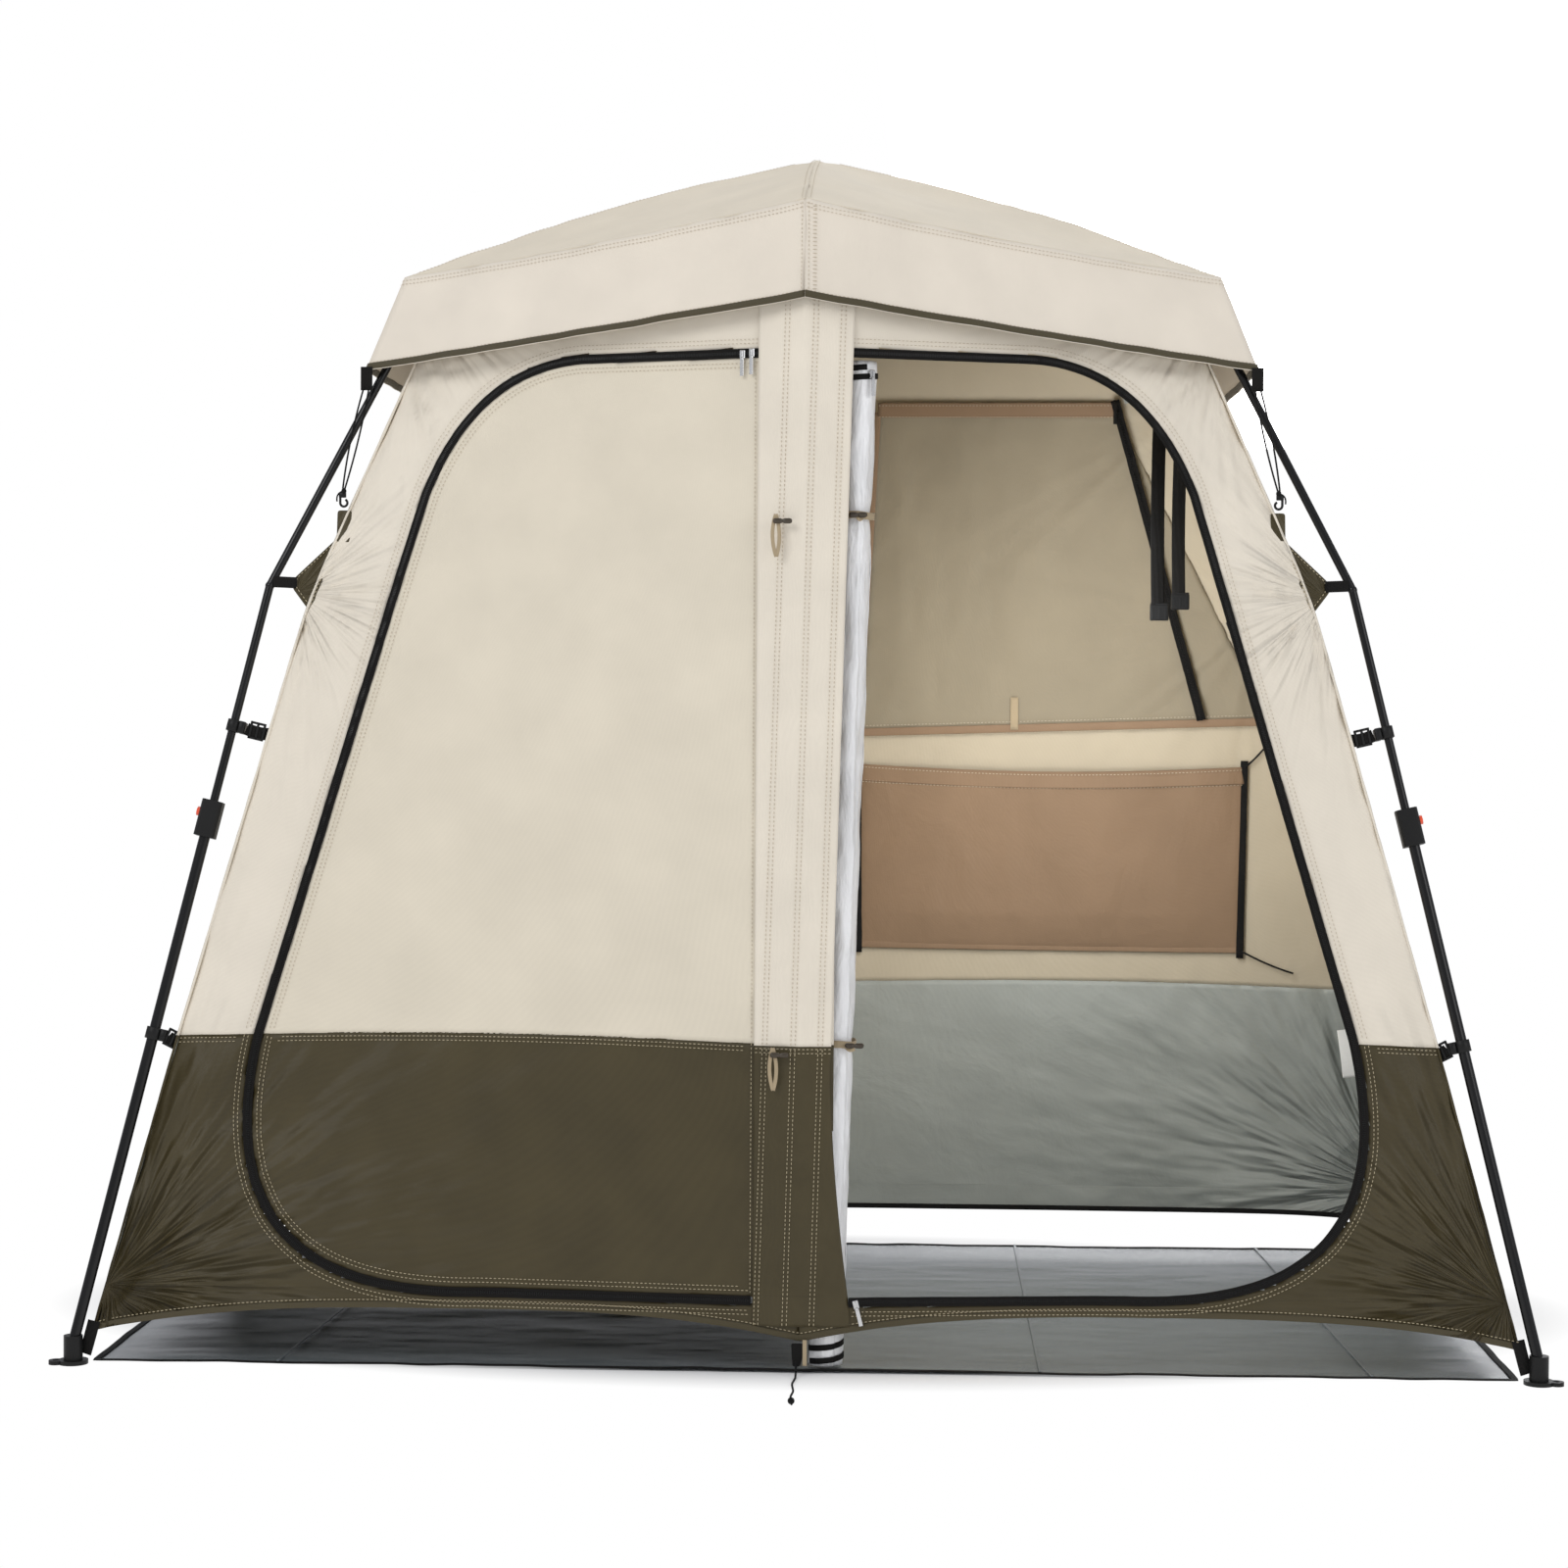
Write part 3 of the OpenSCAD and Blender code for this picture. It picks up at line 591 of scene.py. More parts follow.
def stitches(path, normals, lift=0.0007):
    """A row of separate stitches beside a path. Returns (verts, faces)."""
    side = sideways(path, normals)
    line = path + normals * lift
    along = np.r_[0, np.cumsum(np.linalg.norm(np.diff(line, axis=0), axis=1))]
    starts = np.arange(STITCH_GAP / 2, along[-1] - STITCH, STITCH + STITCH_GAP)
    pick = lambda s, values: np.stack([np.interp(s, along, values[:, k]) for k in range(3)], 1)
    a, b = pick(starts, line), pick(starts + STITCH, line)
    n = pick(starts, normals)
    s = pick(starts, side)
    mid = (a + b) / 2 + n * THREAD_R
    near, far, wide = mid - (b - a) * 0.25, mid + (b - a) * 0.25, s * THREAD_R
    verts = np.stack([a, near + wide, near - wide, far + wide, far - wide, b, mid + n * THREAD_R * 0.7], 1)
    faces = [(0, 2, 6), (0, 6, 1), (1, 6, 3), (2, 4, 6), (5, 3, 6), (5, 6, 4), (0, 1, 3, 5), (0, 5, 4, 2)]
    out = [tuple(7 * i + f for f in face) for i in range(len(a)) for face in faces]
    return verts.reshape(-1, 3), out


def joined(parts):
    """Puts several (verts, faces) together."""
    verts, faces, base = [], [], 0
    for v, f in parts:
        verts.append(np.asarray(v, float))
        faces.extend(tuple(i + base for i in face) for face in f)
        base += len(v)
    return np.vstack(verts), faces


def rounded_box(centre, size, axes=None, round_by=0.2):
    """Box with chamfered edges. Returns (verts, faces)."""
    axes = np.eye(3) if axes is None else np.asarray(axes, float)
    half = np.asarray(size, float) / 2
    inset = min(half) * round_by * (1 - np.eye(3))
    signs = list(product((-1, 1), repeat=3))
    verts = np.array([np.array(sign) * (half - inset[k]) for sign in signs for k in range(3)])

    def corner(face, k, along, across):
        """The vertex on that axis's face, at a corner given by its signs along k and on the other axes."""
        sign = list(across)
        sign.insert(k, along)
        return 3 * signs.index(tuple(sign)) + face

    faces = [[corner(k, k, s, pair) for pair in ((-1, -1), (1, -1), (1, 1), (-1, 1))]
             for k in range(3) for s in (-1, 1)]
    for k in range(3):
        a, b = [m for m in range(3) if m != k]
        faces += [[corner(a, k, -1, pair), corner(b, k, -1, pair), corner(b, k, 1, pair),
                   corner(a, k, 1, pair)] for pair in product((-1, 1), repeat=2)]
    faces += [[3 * i, 3 * i + 1, 3 * i + 2] for i in range(len(signs))]
    out = []
    for f in faces:
        n = np.cross(verts[f[1]] - verts[f[0]], verts[f[2]] - verts[f[0]])
        out.append(tuple(f if n @ verts[f].mean(0) > 0 else f[::-1]))
    return verts @ axes + np.asarray(centre, float), out


# ---------------------------------------------------------------- the cloth shell

DOOR = door_curve()
DOOR_INSET = 0.006
BAND_BOW = 0.010
SIDE_TILT = 0.15
BAND_ROWS = (-0.0045, -0.0105)
SEED_FRONT, SEED_BACK, SEED_SIDE = 3, 13, 31
SIDES = {"left": -1, "right": 1}


def pucker(distance, along, reach, pitch, seed):
    """Small gathers that run out from a seam."""
    fade = np.exp(-np.maximum(distance, 0) / reach)
    return fade * noise3(along / pitch, distance / (reach * 3), 0, seed)


def pull_lines(x, z, cx, cz, reach, count, seed):
    """Creases that radiate from a point where the cloth is pulled."""
    dx, dz = x - cx, z - cz
    r = np.hypot(dx, dz)
    angle = np.arctan2(dz, dx)
    fold = np.sqrt(noise3(angle * count, r / 0.35, 0, seed) ** 2 + 0.012)
    return np.exp(-r / reach) * (0.7 - 2.0 * fold) * np.clip(r / 0.05, 0, 1)


def hem_arch(u, front=True):
    """How far the hem rises between the corners, more at the front than at the back."""
    if front:
        return 0.040 * (1 - np.abs(2 * u - 1) ** 3)
    return 0.022 * (1 - np.abs(u) ** 10)


def bow(h):
    """0 at the hem and the eaves, 1 half way up."""
    return np.sin(np.pi * np.clip((h - HEM_H) / (EAVE_H - HEM_H), 0, 1))


def long_wall_relief(x, z, seed, door=True):
    """How far a long wall stands out of its flat shape."""
    u, h = level_at(x, z)
    ax = np.abs(x)
    out = (0.0035 * fractal(x / 0.42, z / 0.5, 0, seed, 2)
           - 0.006 * np.sin(np.pi * np.clip(u, 0, 1)) * bow(h)
           + 0.0026 * pucker(half_w(h) - ax, z, 0.045, 0.036, seed + 1)
           + 0.0024 * pucker(np.abs(ax - DOOR_SIDE), z, 0.030, 0.026, seed + 2)
           + 0.0014 * pucker(np.abs(z - BAND_H), x, 0.022, 0.030, seed + 3))
    folds = (0.0080 * pull_lines(ax, z, float(half_w(GUSSET_H)), GUSSET_H, 0.20, 7, seed + 4)
             + 0.0105 * pull_lines(ax, z, HEM_W, HEM_H, 0.30, 9, seed + 5)
             + 0.0075 * pull_lines(ax, z, 0.62, 1.50, 0.20, 8, seed + 6))
    if door:
        d, _, _ = outline_distance(DOOR, ax, z)
        folds = folds * (0.45 + 0.55 * np.clip(-d / 0.05, 0, 1))
        along = np.arctan2(z - 0.8, ax - 0.4) * 0.62
        out = out + 0.0016 * pucker(np.abs(d), along, 0.026, 0.027, seed + 7)
    return out + folds


def wall_rows(low, high, step):
    return np.linspace(low, high, max(3, int(round((high - low) / step)) + 1))


WALL_STEP = 0.009


def long_wall_part(name, side, front, low, high, mats, region, stands_for, seed, shift=0.0, door=True):
    """Part of the front or back wall. region(x, z) gives the distance inside the wanted outline and the
    nearest points on it, so the edge follows the outline exactly."""
    hh, uu = grid(wall_rows(low, high, WALL_STEP), wall_rows(0, 1, WALL_STEP))
    z = hh + (1 - uu) * seam_lift(hh)
    if low <= HEM_H + 0.001:
        z = z + hem_arch(uu, front) * np.exp(-(hh - HEM_H) / 0.12)
    x = uu * half_w(hh)
    if low == BAND_H:
        z = z + BAND_BOW * np.sin(np.pi * uu) * np.exp(-(hh - BAND_H) / 0.3)
    if high == BAND_H:
        z = z + BAND_BOW * np.sin(np.pi * uu) * np.exp(-(BAND_H - hh) / 0.3)
    faces = grid_faces(*x.shape)
    xf, zf = x.ravel(), z.ravel()
    if region is not None:
        faces = faces[region(xf[faces].mean(1), zf[faces].mean(1))[0] > 0]
        used = np.unique(faces)
        d, nx, nz = region(xf, zf)
        edge = np.zeros(len(xf), bool)
        edge[used] = True
        edge &= d < 0
        xf = np.where(edge, nx, xf)
        zf = np.where(edge, nz, zf)
        remap = -np.ones(len(xf), int)
        remap[used] = np.arange(len(used))
        faces = remap[faces]
        xf, zf = xf[used], zf[used]
    y = long_wall_y(xf, zf) - shift + long_wall_relief(side * xf, zf, seed, door)
    verts = np.stack([side * xf, -y if front else y, zf], 1)
    if (side > 0) != front:
        faces = faces[:, ::-1]
    return thicken(link_mesh(name, verts, faces, mats, stands_for=stands_for))


def outside_door(x, z):
    """(distance outside the doorway, nearest point on its outline)."""
    d, nx, nz = outline_distance(DOOR, x, z)
    return -d, nx, nz


def inside_door(x, z):
    """The same for the inside of the door's cloth, which stops short of the doorway's outline."""
    d, nx, nz = outline_distance(DOOR, x, z)
    gap = np.maximum(np.abs(d), 1e-6)
    gx, gz = (x - nx) / gap, (z - nz) / gap
    sign = np.where(d >= 0, 1, -1)
    return d - DOOR_INSET, nx + gx * sign * DOOR_INSET, nz + gz * sign * DOOR_INSET


PANELS = (("wall_", BAND_H, EAVE_H, ["beige", "tan"]), ("band_", HEM_H, BAND_H, ["olive", "grey_in"]))


def make_long_walls():
    for name, side in SIDES.items():
        for start, low, high, mats in PANELS:
            panel = start + "front_" + name
            long_wall_part(panel, side, True, low, high, mats, outside_door, [panel], SEED_FRONT + side)
    for name, side in SIDES.items():
        for start, low, high, mats in PANELS:
            long_wall_part(start + "back_" + name, side, False, low, high, mats, None,
                           [start + "back"] if side > 0 else [], SEED_BACK + side, door=False)


def side_wall_point(v, h, side):
    return np.stack([side * half_w(h), (2 * v - 1) * half_d(h), h], -1)


def side_wall_relief(v, h, seed):
    """How far a side wall stands out of its flat shape."""
    d = half_d(h)
    edge = np.minimum(v, 1 - v) * 2 * d
    y = (2 * v - 1) * d
    out = (0.004 * fractal(y / 0.4, h / 0.5, 0, seed, 2)
           - 0.004 * np.sin(np.pi * v) * bow(h)
           + 0.0018 * pucker(edge, h, 0.035, 0.034, seed + 1)
           + 0.0014 * pucker(np.abs(h - BAND_H), y, 0.022, 0.030, seed + 3))
    for s in (-1, 1):
        out = out + 0.0050 * pull_lines(y * s, h, float(half_d(GUSSET_H)), GUSSET_H, 0.16, 7, seed + 4)
        out = out + 0.0060 * pull_lines(y * s, h, HEM_D, HEM_H, 0.22, 8, seed + 5)
    return out * np.clip(edge / 0.02, 0, 1)


def make_side_walls():
    for name, side in SIDES.items():
        for start, low, high, mats in PANELS:
            v = np.linspace(0, 1, int(1.0 / WALL_STEP))
            hh, vv = grid(wall_rows(low, high, WALL_STEP), v)
            points = side_wall_point(vv, hh, side)
            if low == HEM_H:
                points[..., 2] += hem_arch(vv) * np.exp(-(hh - HEM_H) / 0.12)
            points[..., 0] += side * side_wall_relief(vv, hh, SEED_SIDE + side)
            thicken(link_mesh(start + name, points.reshape(-1, 3), grid_faces(*vv.shape, flip=side < 0), mats,
                              stands_for=[start + name]))


def on_front(x, z, side=1, out=0.0, front=True, door=True):
    """Points on the front or back wall's outer surface, with the wall's own relief."""
    x, z = np.asarray(x, float), np.asarray(z, float)
    s = side * np.abs(x) if side else x
    half = np.where(s >= 0, 1, -1)
    base = SEED_FRONT if front else SEED_BACK
    relief = np.where(half > 0, long_wall_relief(s, z, base + 1, door), long_wall_relief(s, z, base - 1, door))
    y = long_wall_y(x, z) + relief + out
    return np.stack([s, -y if front else y, z], -1)


def long_wall_normals(points, front=True):
    n = np.zeros_like(points)
    x, z = np.abs(points[:, 0]), points[:, 2]
    e = 0.01
    dx = (long_wall_y(x + e, z) - long_wall_y(np.maximum(x - e, 0), z)) / (x + e - np.maximum(x - e, 0))
    dz = (long_wall_y(x, z + e) - long_wall_y(x, z - e)) / (2 * e)
    sign = np.sign(points[:, 0])
    n[:, 0] = -dx * sign
    n[:, 1] = 1
    n[:, 2] = -dz
    if front:
        n[:, 1] = -1
    return n / np.linalg.norm(n, axis=1, keepdims=True)


def offset_curve(curve, inset):
    """Closed outline moved inwards."""
    t = np.gradient(curve, axis=0)
    t[0] = t[-1] = (curve[1] - curve[-2])
    t /= np.linalg.norm(t, axis=1, keepdims=True)
    n = np.stack([t[:, 1], -t[:, 0]], 1)
    trial = curve + n * 0.004
    d, _, _ = outline_distance(curve, trial[:, 0], trial[:, 1])
    if np.median(d) < 0:
        n = -n
    for _ in range(3):
        n[1:-1] = (n[:-2] + n[1:-1] + n[2:]) / 3
        n /= np.linalg.norm(n, axis=1, keepdims=True)
    return curve + n * inset


def zip_run(curve, inset):
    """The stretch of a door's outline from the foot round to the top, clear of the centre strip's flap."""
    line = offset_curve(curve, inset)[:-1]
    line = np.roll(line, -int(np.argmin(line[:, 0] + (line[:, 1] > 0.8) * 9)), axis=0)
    keep = line[:, 0] > DOOR_SIDE + 0.020
    starts = np.flatnonzero(keep & ~np.roll(keep, 1))
    line = np.roll(line, -int(starts[0]), axis=0)
    return line[:int(keep.sum())]


ZIP_INSET, ZIP_LIFT, ZIP_W, ZIP_THICK = 0.0045, 0.0020, 0.0140, 0.0011
TOOTH, TOOTH_PITCH = (0.0013, 0.0046, 0.0013), 0.0026


def zip_around(name, side):
    """Zip tape and teeth that follow a door's outline."""
    curve = zip_run(DOOR, ZIP_INSET)
    path = on_front(side * curve[:, 0], curve[:, 1], side, ZIP_LIFT)
    link_mesh(name + "_tape", *ribbon(path, long_wall_normals(path), ZIP_W, ZIP_THICK), "tape",
              stands_for=[name])
    along = resample(path, TOOTH_PITCH)
    teeth = [rounded_box(p + n * 0.0015, TOOTH, [d, np.cross(n, d), n], 0.3)
             for p, n, d in zip(along, long_wall_normals(along), tangents(along))]
    small_parts(name + "_teeth", teeth, "teeth")


def runs_between(path, low, high):
    """The stretches of a path that lie between two heights."""
    keep = (path[:, 2] >= low) & (path[:, 2] < high)
    ends = np.flatnonzero(np.diff(keep.astype(int))) + 1
    return [path[run] for run in np.split(np.arange(len(path)), ends) if len(run) > 4 and keep[run[0]]]


def make_zips():
    for name, side in SIDES.items():
        zip_around("zip_" + name, side)
    on_band, on_wall = [], []
    change = BAND_H + 0.006
    for side, insets in ((-1, (-0.010, -0.016, 0.019, 0.025)), (1, (-0.010, -0.016))):
        for inset in insets:
            curve = zip_run(DOOR, inset)
            path = on_front(side * curve[:, 0], curve[:, 1], side, 0.0004)
            for low, high, rows, lift in ((0.0, change, on_band, 0.0016), (change, 3.0, on_wall, 0.0012)):
                rows += [stitches(run, long_wall_normals(run), lift) for run in runs_between(path, low, high)]
    small_parts("zip_stitches_band", on_band, "thread")
    small_parts("zip_stitches_wall", on_wall, "thread_beige")


def make_left_door():
    for name, low, high, mats, stands_for in (
            ("door_left_upper", BAND_H, EAVE_H, ["door", "tan"], ["door_left"]),
            ("door_left_lower", HEM_H, BAND_H, ["olive", "grey_in"], [])):
        piece = long_wall_part(name, -1, True, low, high, mats, inside_door, stands_for, 2, shift=-0.0005)
        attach(piece, "door")


# ---------------------------------------------------------------- sheets and trim

def surface_area(piece):
    """Area of one face of a thin cloth piece."""
    return sum(p.area for p in piece.data.polygons) / 2


def declare(piece, width, length, with_pieces=()):
    """Works out a cloth piece's width from the size of its cut, or from its own area where the cut isn't a
    rectangle.
    A panel that is mostly doorway gets its height and the mean width of the cloth around the opening. The width
    is not kept."""
    area = surface_area(piece)
    if area < 0.3 * width * length:
        width = area / length


def cloth_grid(name, points, mat, flip=False, **kind):
    """Cloth from a grid of points, given its thickness."""
    return thicken(link_mesh(name, points.reshape(-1, 3), grid_faces(*points.shape[:2], flip), mat, **kind))


def strip_centre(z):
    return -0.024 + 0.0258 * z


def strip_edges(z):
    """Left edge and right fold of the centre strip; the fold runs out towards the hem."""
    centre = strip_centre(z)
    reach = np.minimum(-(DOOR_SIDE + 0.021), centre - 0.047)
    return reach, centre + 0.056 + 0.040 * np.clip((0.45 - z) / 0.36, 0, 1) ** 1.5


STRIP_SEAMS = (-0.042, 0.0, 0.040)
STRIP_OUT = 0.0062


def on_strip(x, z):
    """Points on the outside of the centre strip."""
    across = x - strip_centre(z)
    swell = 0.0022 * fractal(x / 0.055, z / 0.11, 0, 71, 3)
    for seam in STRIP_SEAMS:
        gap = np.abs(across - seam)
        swell = swell - 0.0010 * np.exp(-(gap / 0.0030) ** 2) + 0.0012 * pucker(gap, z, 0.010, 0.017, 73)
    left, _ = strip_edges(z)
    rise = STRIP_OUT * (0.35 + 0.65 * np.clip((x - left) / 0.035, 0, 1))
    return np.stack([x, -(long_wall_y(x, z) + rise + swell), z], -1)


def make_centre_strip():
    for name, low, high, mat, thread, stands_for in (
            ("strip_upper", BAND_H, EAVE_H - 0.01, "beige", "thread_beige", ["centre_strip"]),
            ("strip_lower", HEM_H + 0.022, BAND_H, "olive", "thread", [])):
        z = wall_rows(low, high, 0.006)
        s = np.linspace(0, 1, 34)
        zz, ss = grid(z, s)
        left, right = strip_edges(zz)
        points = on_strip(left + (right - left) * ss, zz)
        strip = cloth_grid(name, points, mat, stands_for=stands_for)
        rows = []
        for seam, shift in product(STRIP_SEAMS, (-0.0032, 0.0032)):
            line = resample(np.stack([strip_centre(z) + seam + shift, z], 1), 0.004)
            rows.append(stitches(on_strip(*line.T), facing(FORWARD, len(line)), lift=0.0009))
        declare(strip, 0.112, high - low,
                [small_parts(name + "_stitches", rows, thread)])
    path = on_strip(np.linspace(*strip_edges(BAND_H), 20), np.full(20, BAND_H))
    small_parts("strip_band_stitches",
                [stitches(path + [0, 0, dz], facing(FORWARD, 20), lift=0.0012) for dz in (-0.004, -0.010)],
                "thread")


# ---------------------------------------------------------------- roof

CAP_RING = np.array([[0, -CAP_D, CAP_SEAM_H], [CAP_W, -CAP_CORNER_D, CAP_CORNER_H],
                     [CAP_W, CAP_CORNER_D, CAP_CORNER_H], [0, CAP_D, CAP_SEAM_H],
                     [-CAP_W, CAP_CORNER_D, CAP_CORNER_H], [-CAP_W, -CAP_CORNER_D, CAP_CORNER_H]])


ROOF_LIFT = 0.0009
FRONT_AND_BACK = (0.0, 3.0)


def around_cap(s, ring):
    """Point at s, counted in sides from the front seam, with each side's fraction."""
    k = np.floor(s).astype(int) % 6
    f = s - np.floor(s)
    a, b = ring[k], ring[(k + 1) % 6]
    return a + (b - a) * f[..., None], f


def roof_point(s, t):
    edge, f = around_cap(s, CAP_RING)
    peak = np.array([0, 0, PEAK_H - 0.002])
    p = peak + (edge - peak) * t[..., None]
    ridge = 1 - 0.72 * np.sin(np.pi * f)
    p[..., 2] += 0.015 * ridge * np.sin(np.pi * t) - 0.005 * np.sin(np.pi * f) * t ** 3
    near = np.minimum(f, 1 - f) * t
    p[..., 2] += 0.0026 * fractal(p[..., 0] / 0.20, p[..., 1] / 0.20, 0, 5, 3) * np.sin(np.pi * t)
    p[..., 2] += 0.0016 * np.exp(-near / 0.05) * noise3(t * 26, s * 2, 0, 8) * t
    p[..., 2] += 0.0007 * np.exp(-(1 - t) / 0.05) * noise3(s * 16, 0, 0, 9)
    p[..., 2] -= 0.0040 * np.exp(-(t / 0.04) ** 2)
    return p


def valance_point(s, v):
    """v goes from the cap's edge to the foot of the skirt."""
    top = roof_point(s, np.ones_like(s))
    _, f = around_cap(s, CAP_RING)
    grow = VALANCE_FLARE * v[..., None] * np.array([1.0, 0.6, 0])
    corner, _ = around_cap(s, np.array([[0, -0.667, 0], [1, -1, 0], [1, 1, 0], [0, 0.667, 0], [-1, 1, 0],
                                        [-1, -1, 0]], float))
    p = top + grow * corner
    p[..., 2] -= VALANCE_DROP * v
    away = corner / np.maximum(np.linalg.norm(corner, axis=-1, keepdims=True), 1e-6)
    wave = 0.0030 * fractal(s * 3.1, v * 0.7, 0, 21, 2) * v + 0.0012 * noise3(s * 17, v * 3, 0, 23)
    wave = wave - 0.006 * np.sin(np.pi * f) * np.sin(np.pi * v)
    p = p + away * wave[..., None]
    p[..., 2] += 0.004 * np.sin(np.pi * f) * v
    return p


def surface_path(point, s, v):
    """(path, outward normals) along a line on the roof or the skirt."""
    e = 0.004
    p = point(s, v)
    ds = point(s + e, v) - point(s - e, v)
    dv = point(s, v + e) - point(s, v - e)
    n = unit(np.cross(dv, ds))
    out = p * [1, 1, 0] + [0, 0, 0.6]
    n *= np.where((n * out).sum(-1, keepdims=True) < 0, -1, 1)
    return p, n


def make_roof():
    s = np.linspace(0, 6, 361)
    t = np.r_[0.004, np.linspace(0.02, 1, 70)]
    tt, ss = grid(t, s)
    roof = cloth_grid("roof_cap", roof_point(ss, tt), "roof", stands_for=["roof_cap"], flip=True)
    v = np.linspace(0, 1, 20)
    vv, ss = grid(v, s)
    skirt = cloth_grid("roof_valance", valance_point(ss, vv), "valance", stands_for=["roof_valance"],
                       flip=True)
    round_it = np.linspace(0, 6, 900)
    foot, n = surface_path(valance_point, round_it, np.full(900, 0.962))
    hem = link_mesh("valance_binding", *ribbon(foot, n, 0.0100, 0.0018, closed=True), "binding")
    inner = link_mesh("valance_binding_inside", *ribbon(foot - n * 0.0012, -n, 0.0100, 0.0010, closed=True),
                      "binding")
    rows = [stitches(*surface_path(valance_point, round_it, np.full(900, height)), ROOF_LIFT)
            for height in (0.925, 0.045, 0.085)]
    down, out = np.linspace(0.02, 0.93, 60), np.linspace(0.06, 0.985, 160)
    rows += [stitches(*surface_path(valance_point, np.full(60, seam + shift + 1e-4), down), ROOF_LIFT)
             for seam in FRONT_AND_BACK for shift in (-0.007, 0.007)]
    ridges = [stitches(*surface_path(roof_point, seam + shift / np.maximum(out, 0.15), out), ROOF_LIFT)
              for seam in range(6) for shift in (-0.010, 0.010)]
    seams = small_parts("valance_stitches", rows, "thread_beige", slot="roof_fabric")
    tops = small_parts("roof_stitches", ridges, "thread_beige", slot="roof_fabric")
    down = np.linspace(0.06, 0.90, 22)
    bars = [rounded_box(p + q * 0.0008, (0.0060, 0.0010, 0.0009), None, 0.3) for seam in FRONT_AND_BACK
            for p, q in zip(*surface_path(valance_point, np.full(22, seam + 0.0205), down))]
    ladder = small_parts("valance_ladder_stitch", bars, "thread_beige", slot="roof_fabric")
    declare(roof, 2 * CAP_W, 2 * CAP_D, [tops])
    declare(skirt, 3.95, VALANCE_DROP + 0.01, [hem, inner, seams, ladder])


# ---------------------------------------------------------------- the rolled door and its ties

ROLL_FOOT = np.array([0.038, -0.516, 0.008])
ROLL_TOP = np.array([0.080, -0.486, 1.490])
ROLL_R = 0.026
TIE_HEIGHTS = (0.470, 1.250)
TIE_RISE = 0.012


def roll_centre(z):
    t = (np.asarray(z, float) - ROLL_FOOT[2]) / (ROLL_TOP[2] - ROLL_FOOT[2])
    return ROLL_FOOT + (ROLL_TOP - ROLL_FOOT) * t[..., None]


def roll_radius(angle, z):
    """The outer turn of cloth, which steps in where its edge lies."""
    edge = -1.05 + 0.25 * np.sin(z * 3.1)
    turn = np.mod(angle - edge, 2 * np.pi) / (2 * np.pi)
    r = ROLL_R * (0.905 + 0.085 * turn)
    r = r + 0.0013 * fractal(angle * 1.4, z / 0.09, 0, 41, 3)
    r = r + 0.0010 * noise3(np.cos(angle) * 2, z / 0.030, np.sin(angle) * 2, 43)
    for tie in TIE_HEIGHTS:
        r = r - 0.0030 * np.exp(-((z - tie - TIE_RISE) / 0.018) ** 2)
    return r


def on_roll(angle, z, out=0.0):
    angle, z = np.broadcast_arrays(np.asarray(angle, float), np.asarray(z, float))
    r = roll_radius(angle, z) + out
    return roll_centre(z) + around(angle, r)


def roll_ribbon(name, angle, z, width, thick, mat, **kind):
    path = on_roll(angle, z, 0.0002)
    n = path - roll_centre(z)
    n[:, 2] = 0
    n /= np.linalg.norm(n, axis=1, keepdims=True)
    return link_mesh(name, *ribbon(path, n, width, thick), mat, **kind)


def make_rolled_door():
    z = np.linspace(ROLL_FOOT[2], ROLL_TOP[2], 250)
    angle = np.linspace(0, 2 * np.pi, 65)
    zz, aa = grid(z, angle)
    roll = cloth_grid("rolled_door", on_roll(aa, zz), "silver", stands_for=["rolled_door"])
    bands = []
    for k, (start, turns, low, pitch) in enumerate(((-2.6, 2.1, 0.014, 0.019), (-2.4, 1.2, 1.464, 0.014))):
        a = start + np.linspace(0, 2 * np.pi * turns, 120)
        bands.append(roll_ribbon("roll_zip_band_%d" % k, a, low + np.linspace(0, pitch * turns, 120), 0.0085,
                                 0.0013, "tape"))
    turns = np.linspace(0.4, 3.2, 150) * 2 * np.pi
    spiral = []
    for height, up in ((ROLL_FOOT[2] + 0.001, -1), (ROLL_TOP[2] - 0.001, 1)):
        r = 0.0225 * turns / turns[-1]
        path = roll_centre(np.full(150, height)) + around(turns, r)
        spiral.append(ribbon(path + [0, 0, -up * 0.006], around(turns), 0.012, 0.0014))
    inner = link_mesh("roll_inner_turns", *joined(spiral), "silver")
    declare(roll, 2 * math.pi * ROLL_R, ROLL_TOP[2] - ROLL_FOOT[2], bands + [inner])


def toggle(centre):
    """Barrel toggle with a groove for its loop, lying along X."""
    half = 0.014
    x = np.linspace(-half, half, 29)
    f = np.abs(x) / half
    size = 0.0040 * np.sqrt(np.clip(1 - np.clip((f - 0.72) / 0.30, 0, 1) ** 2, 0.05, 1))
    size = size - 0.0012 * np.exp(-(x / 0.0020) ** 2)
    return tube(np.stack([x, 0 * x, 0 * x], 1) + np.asarray(centre), size, 16)


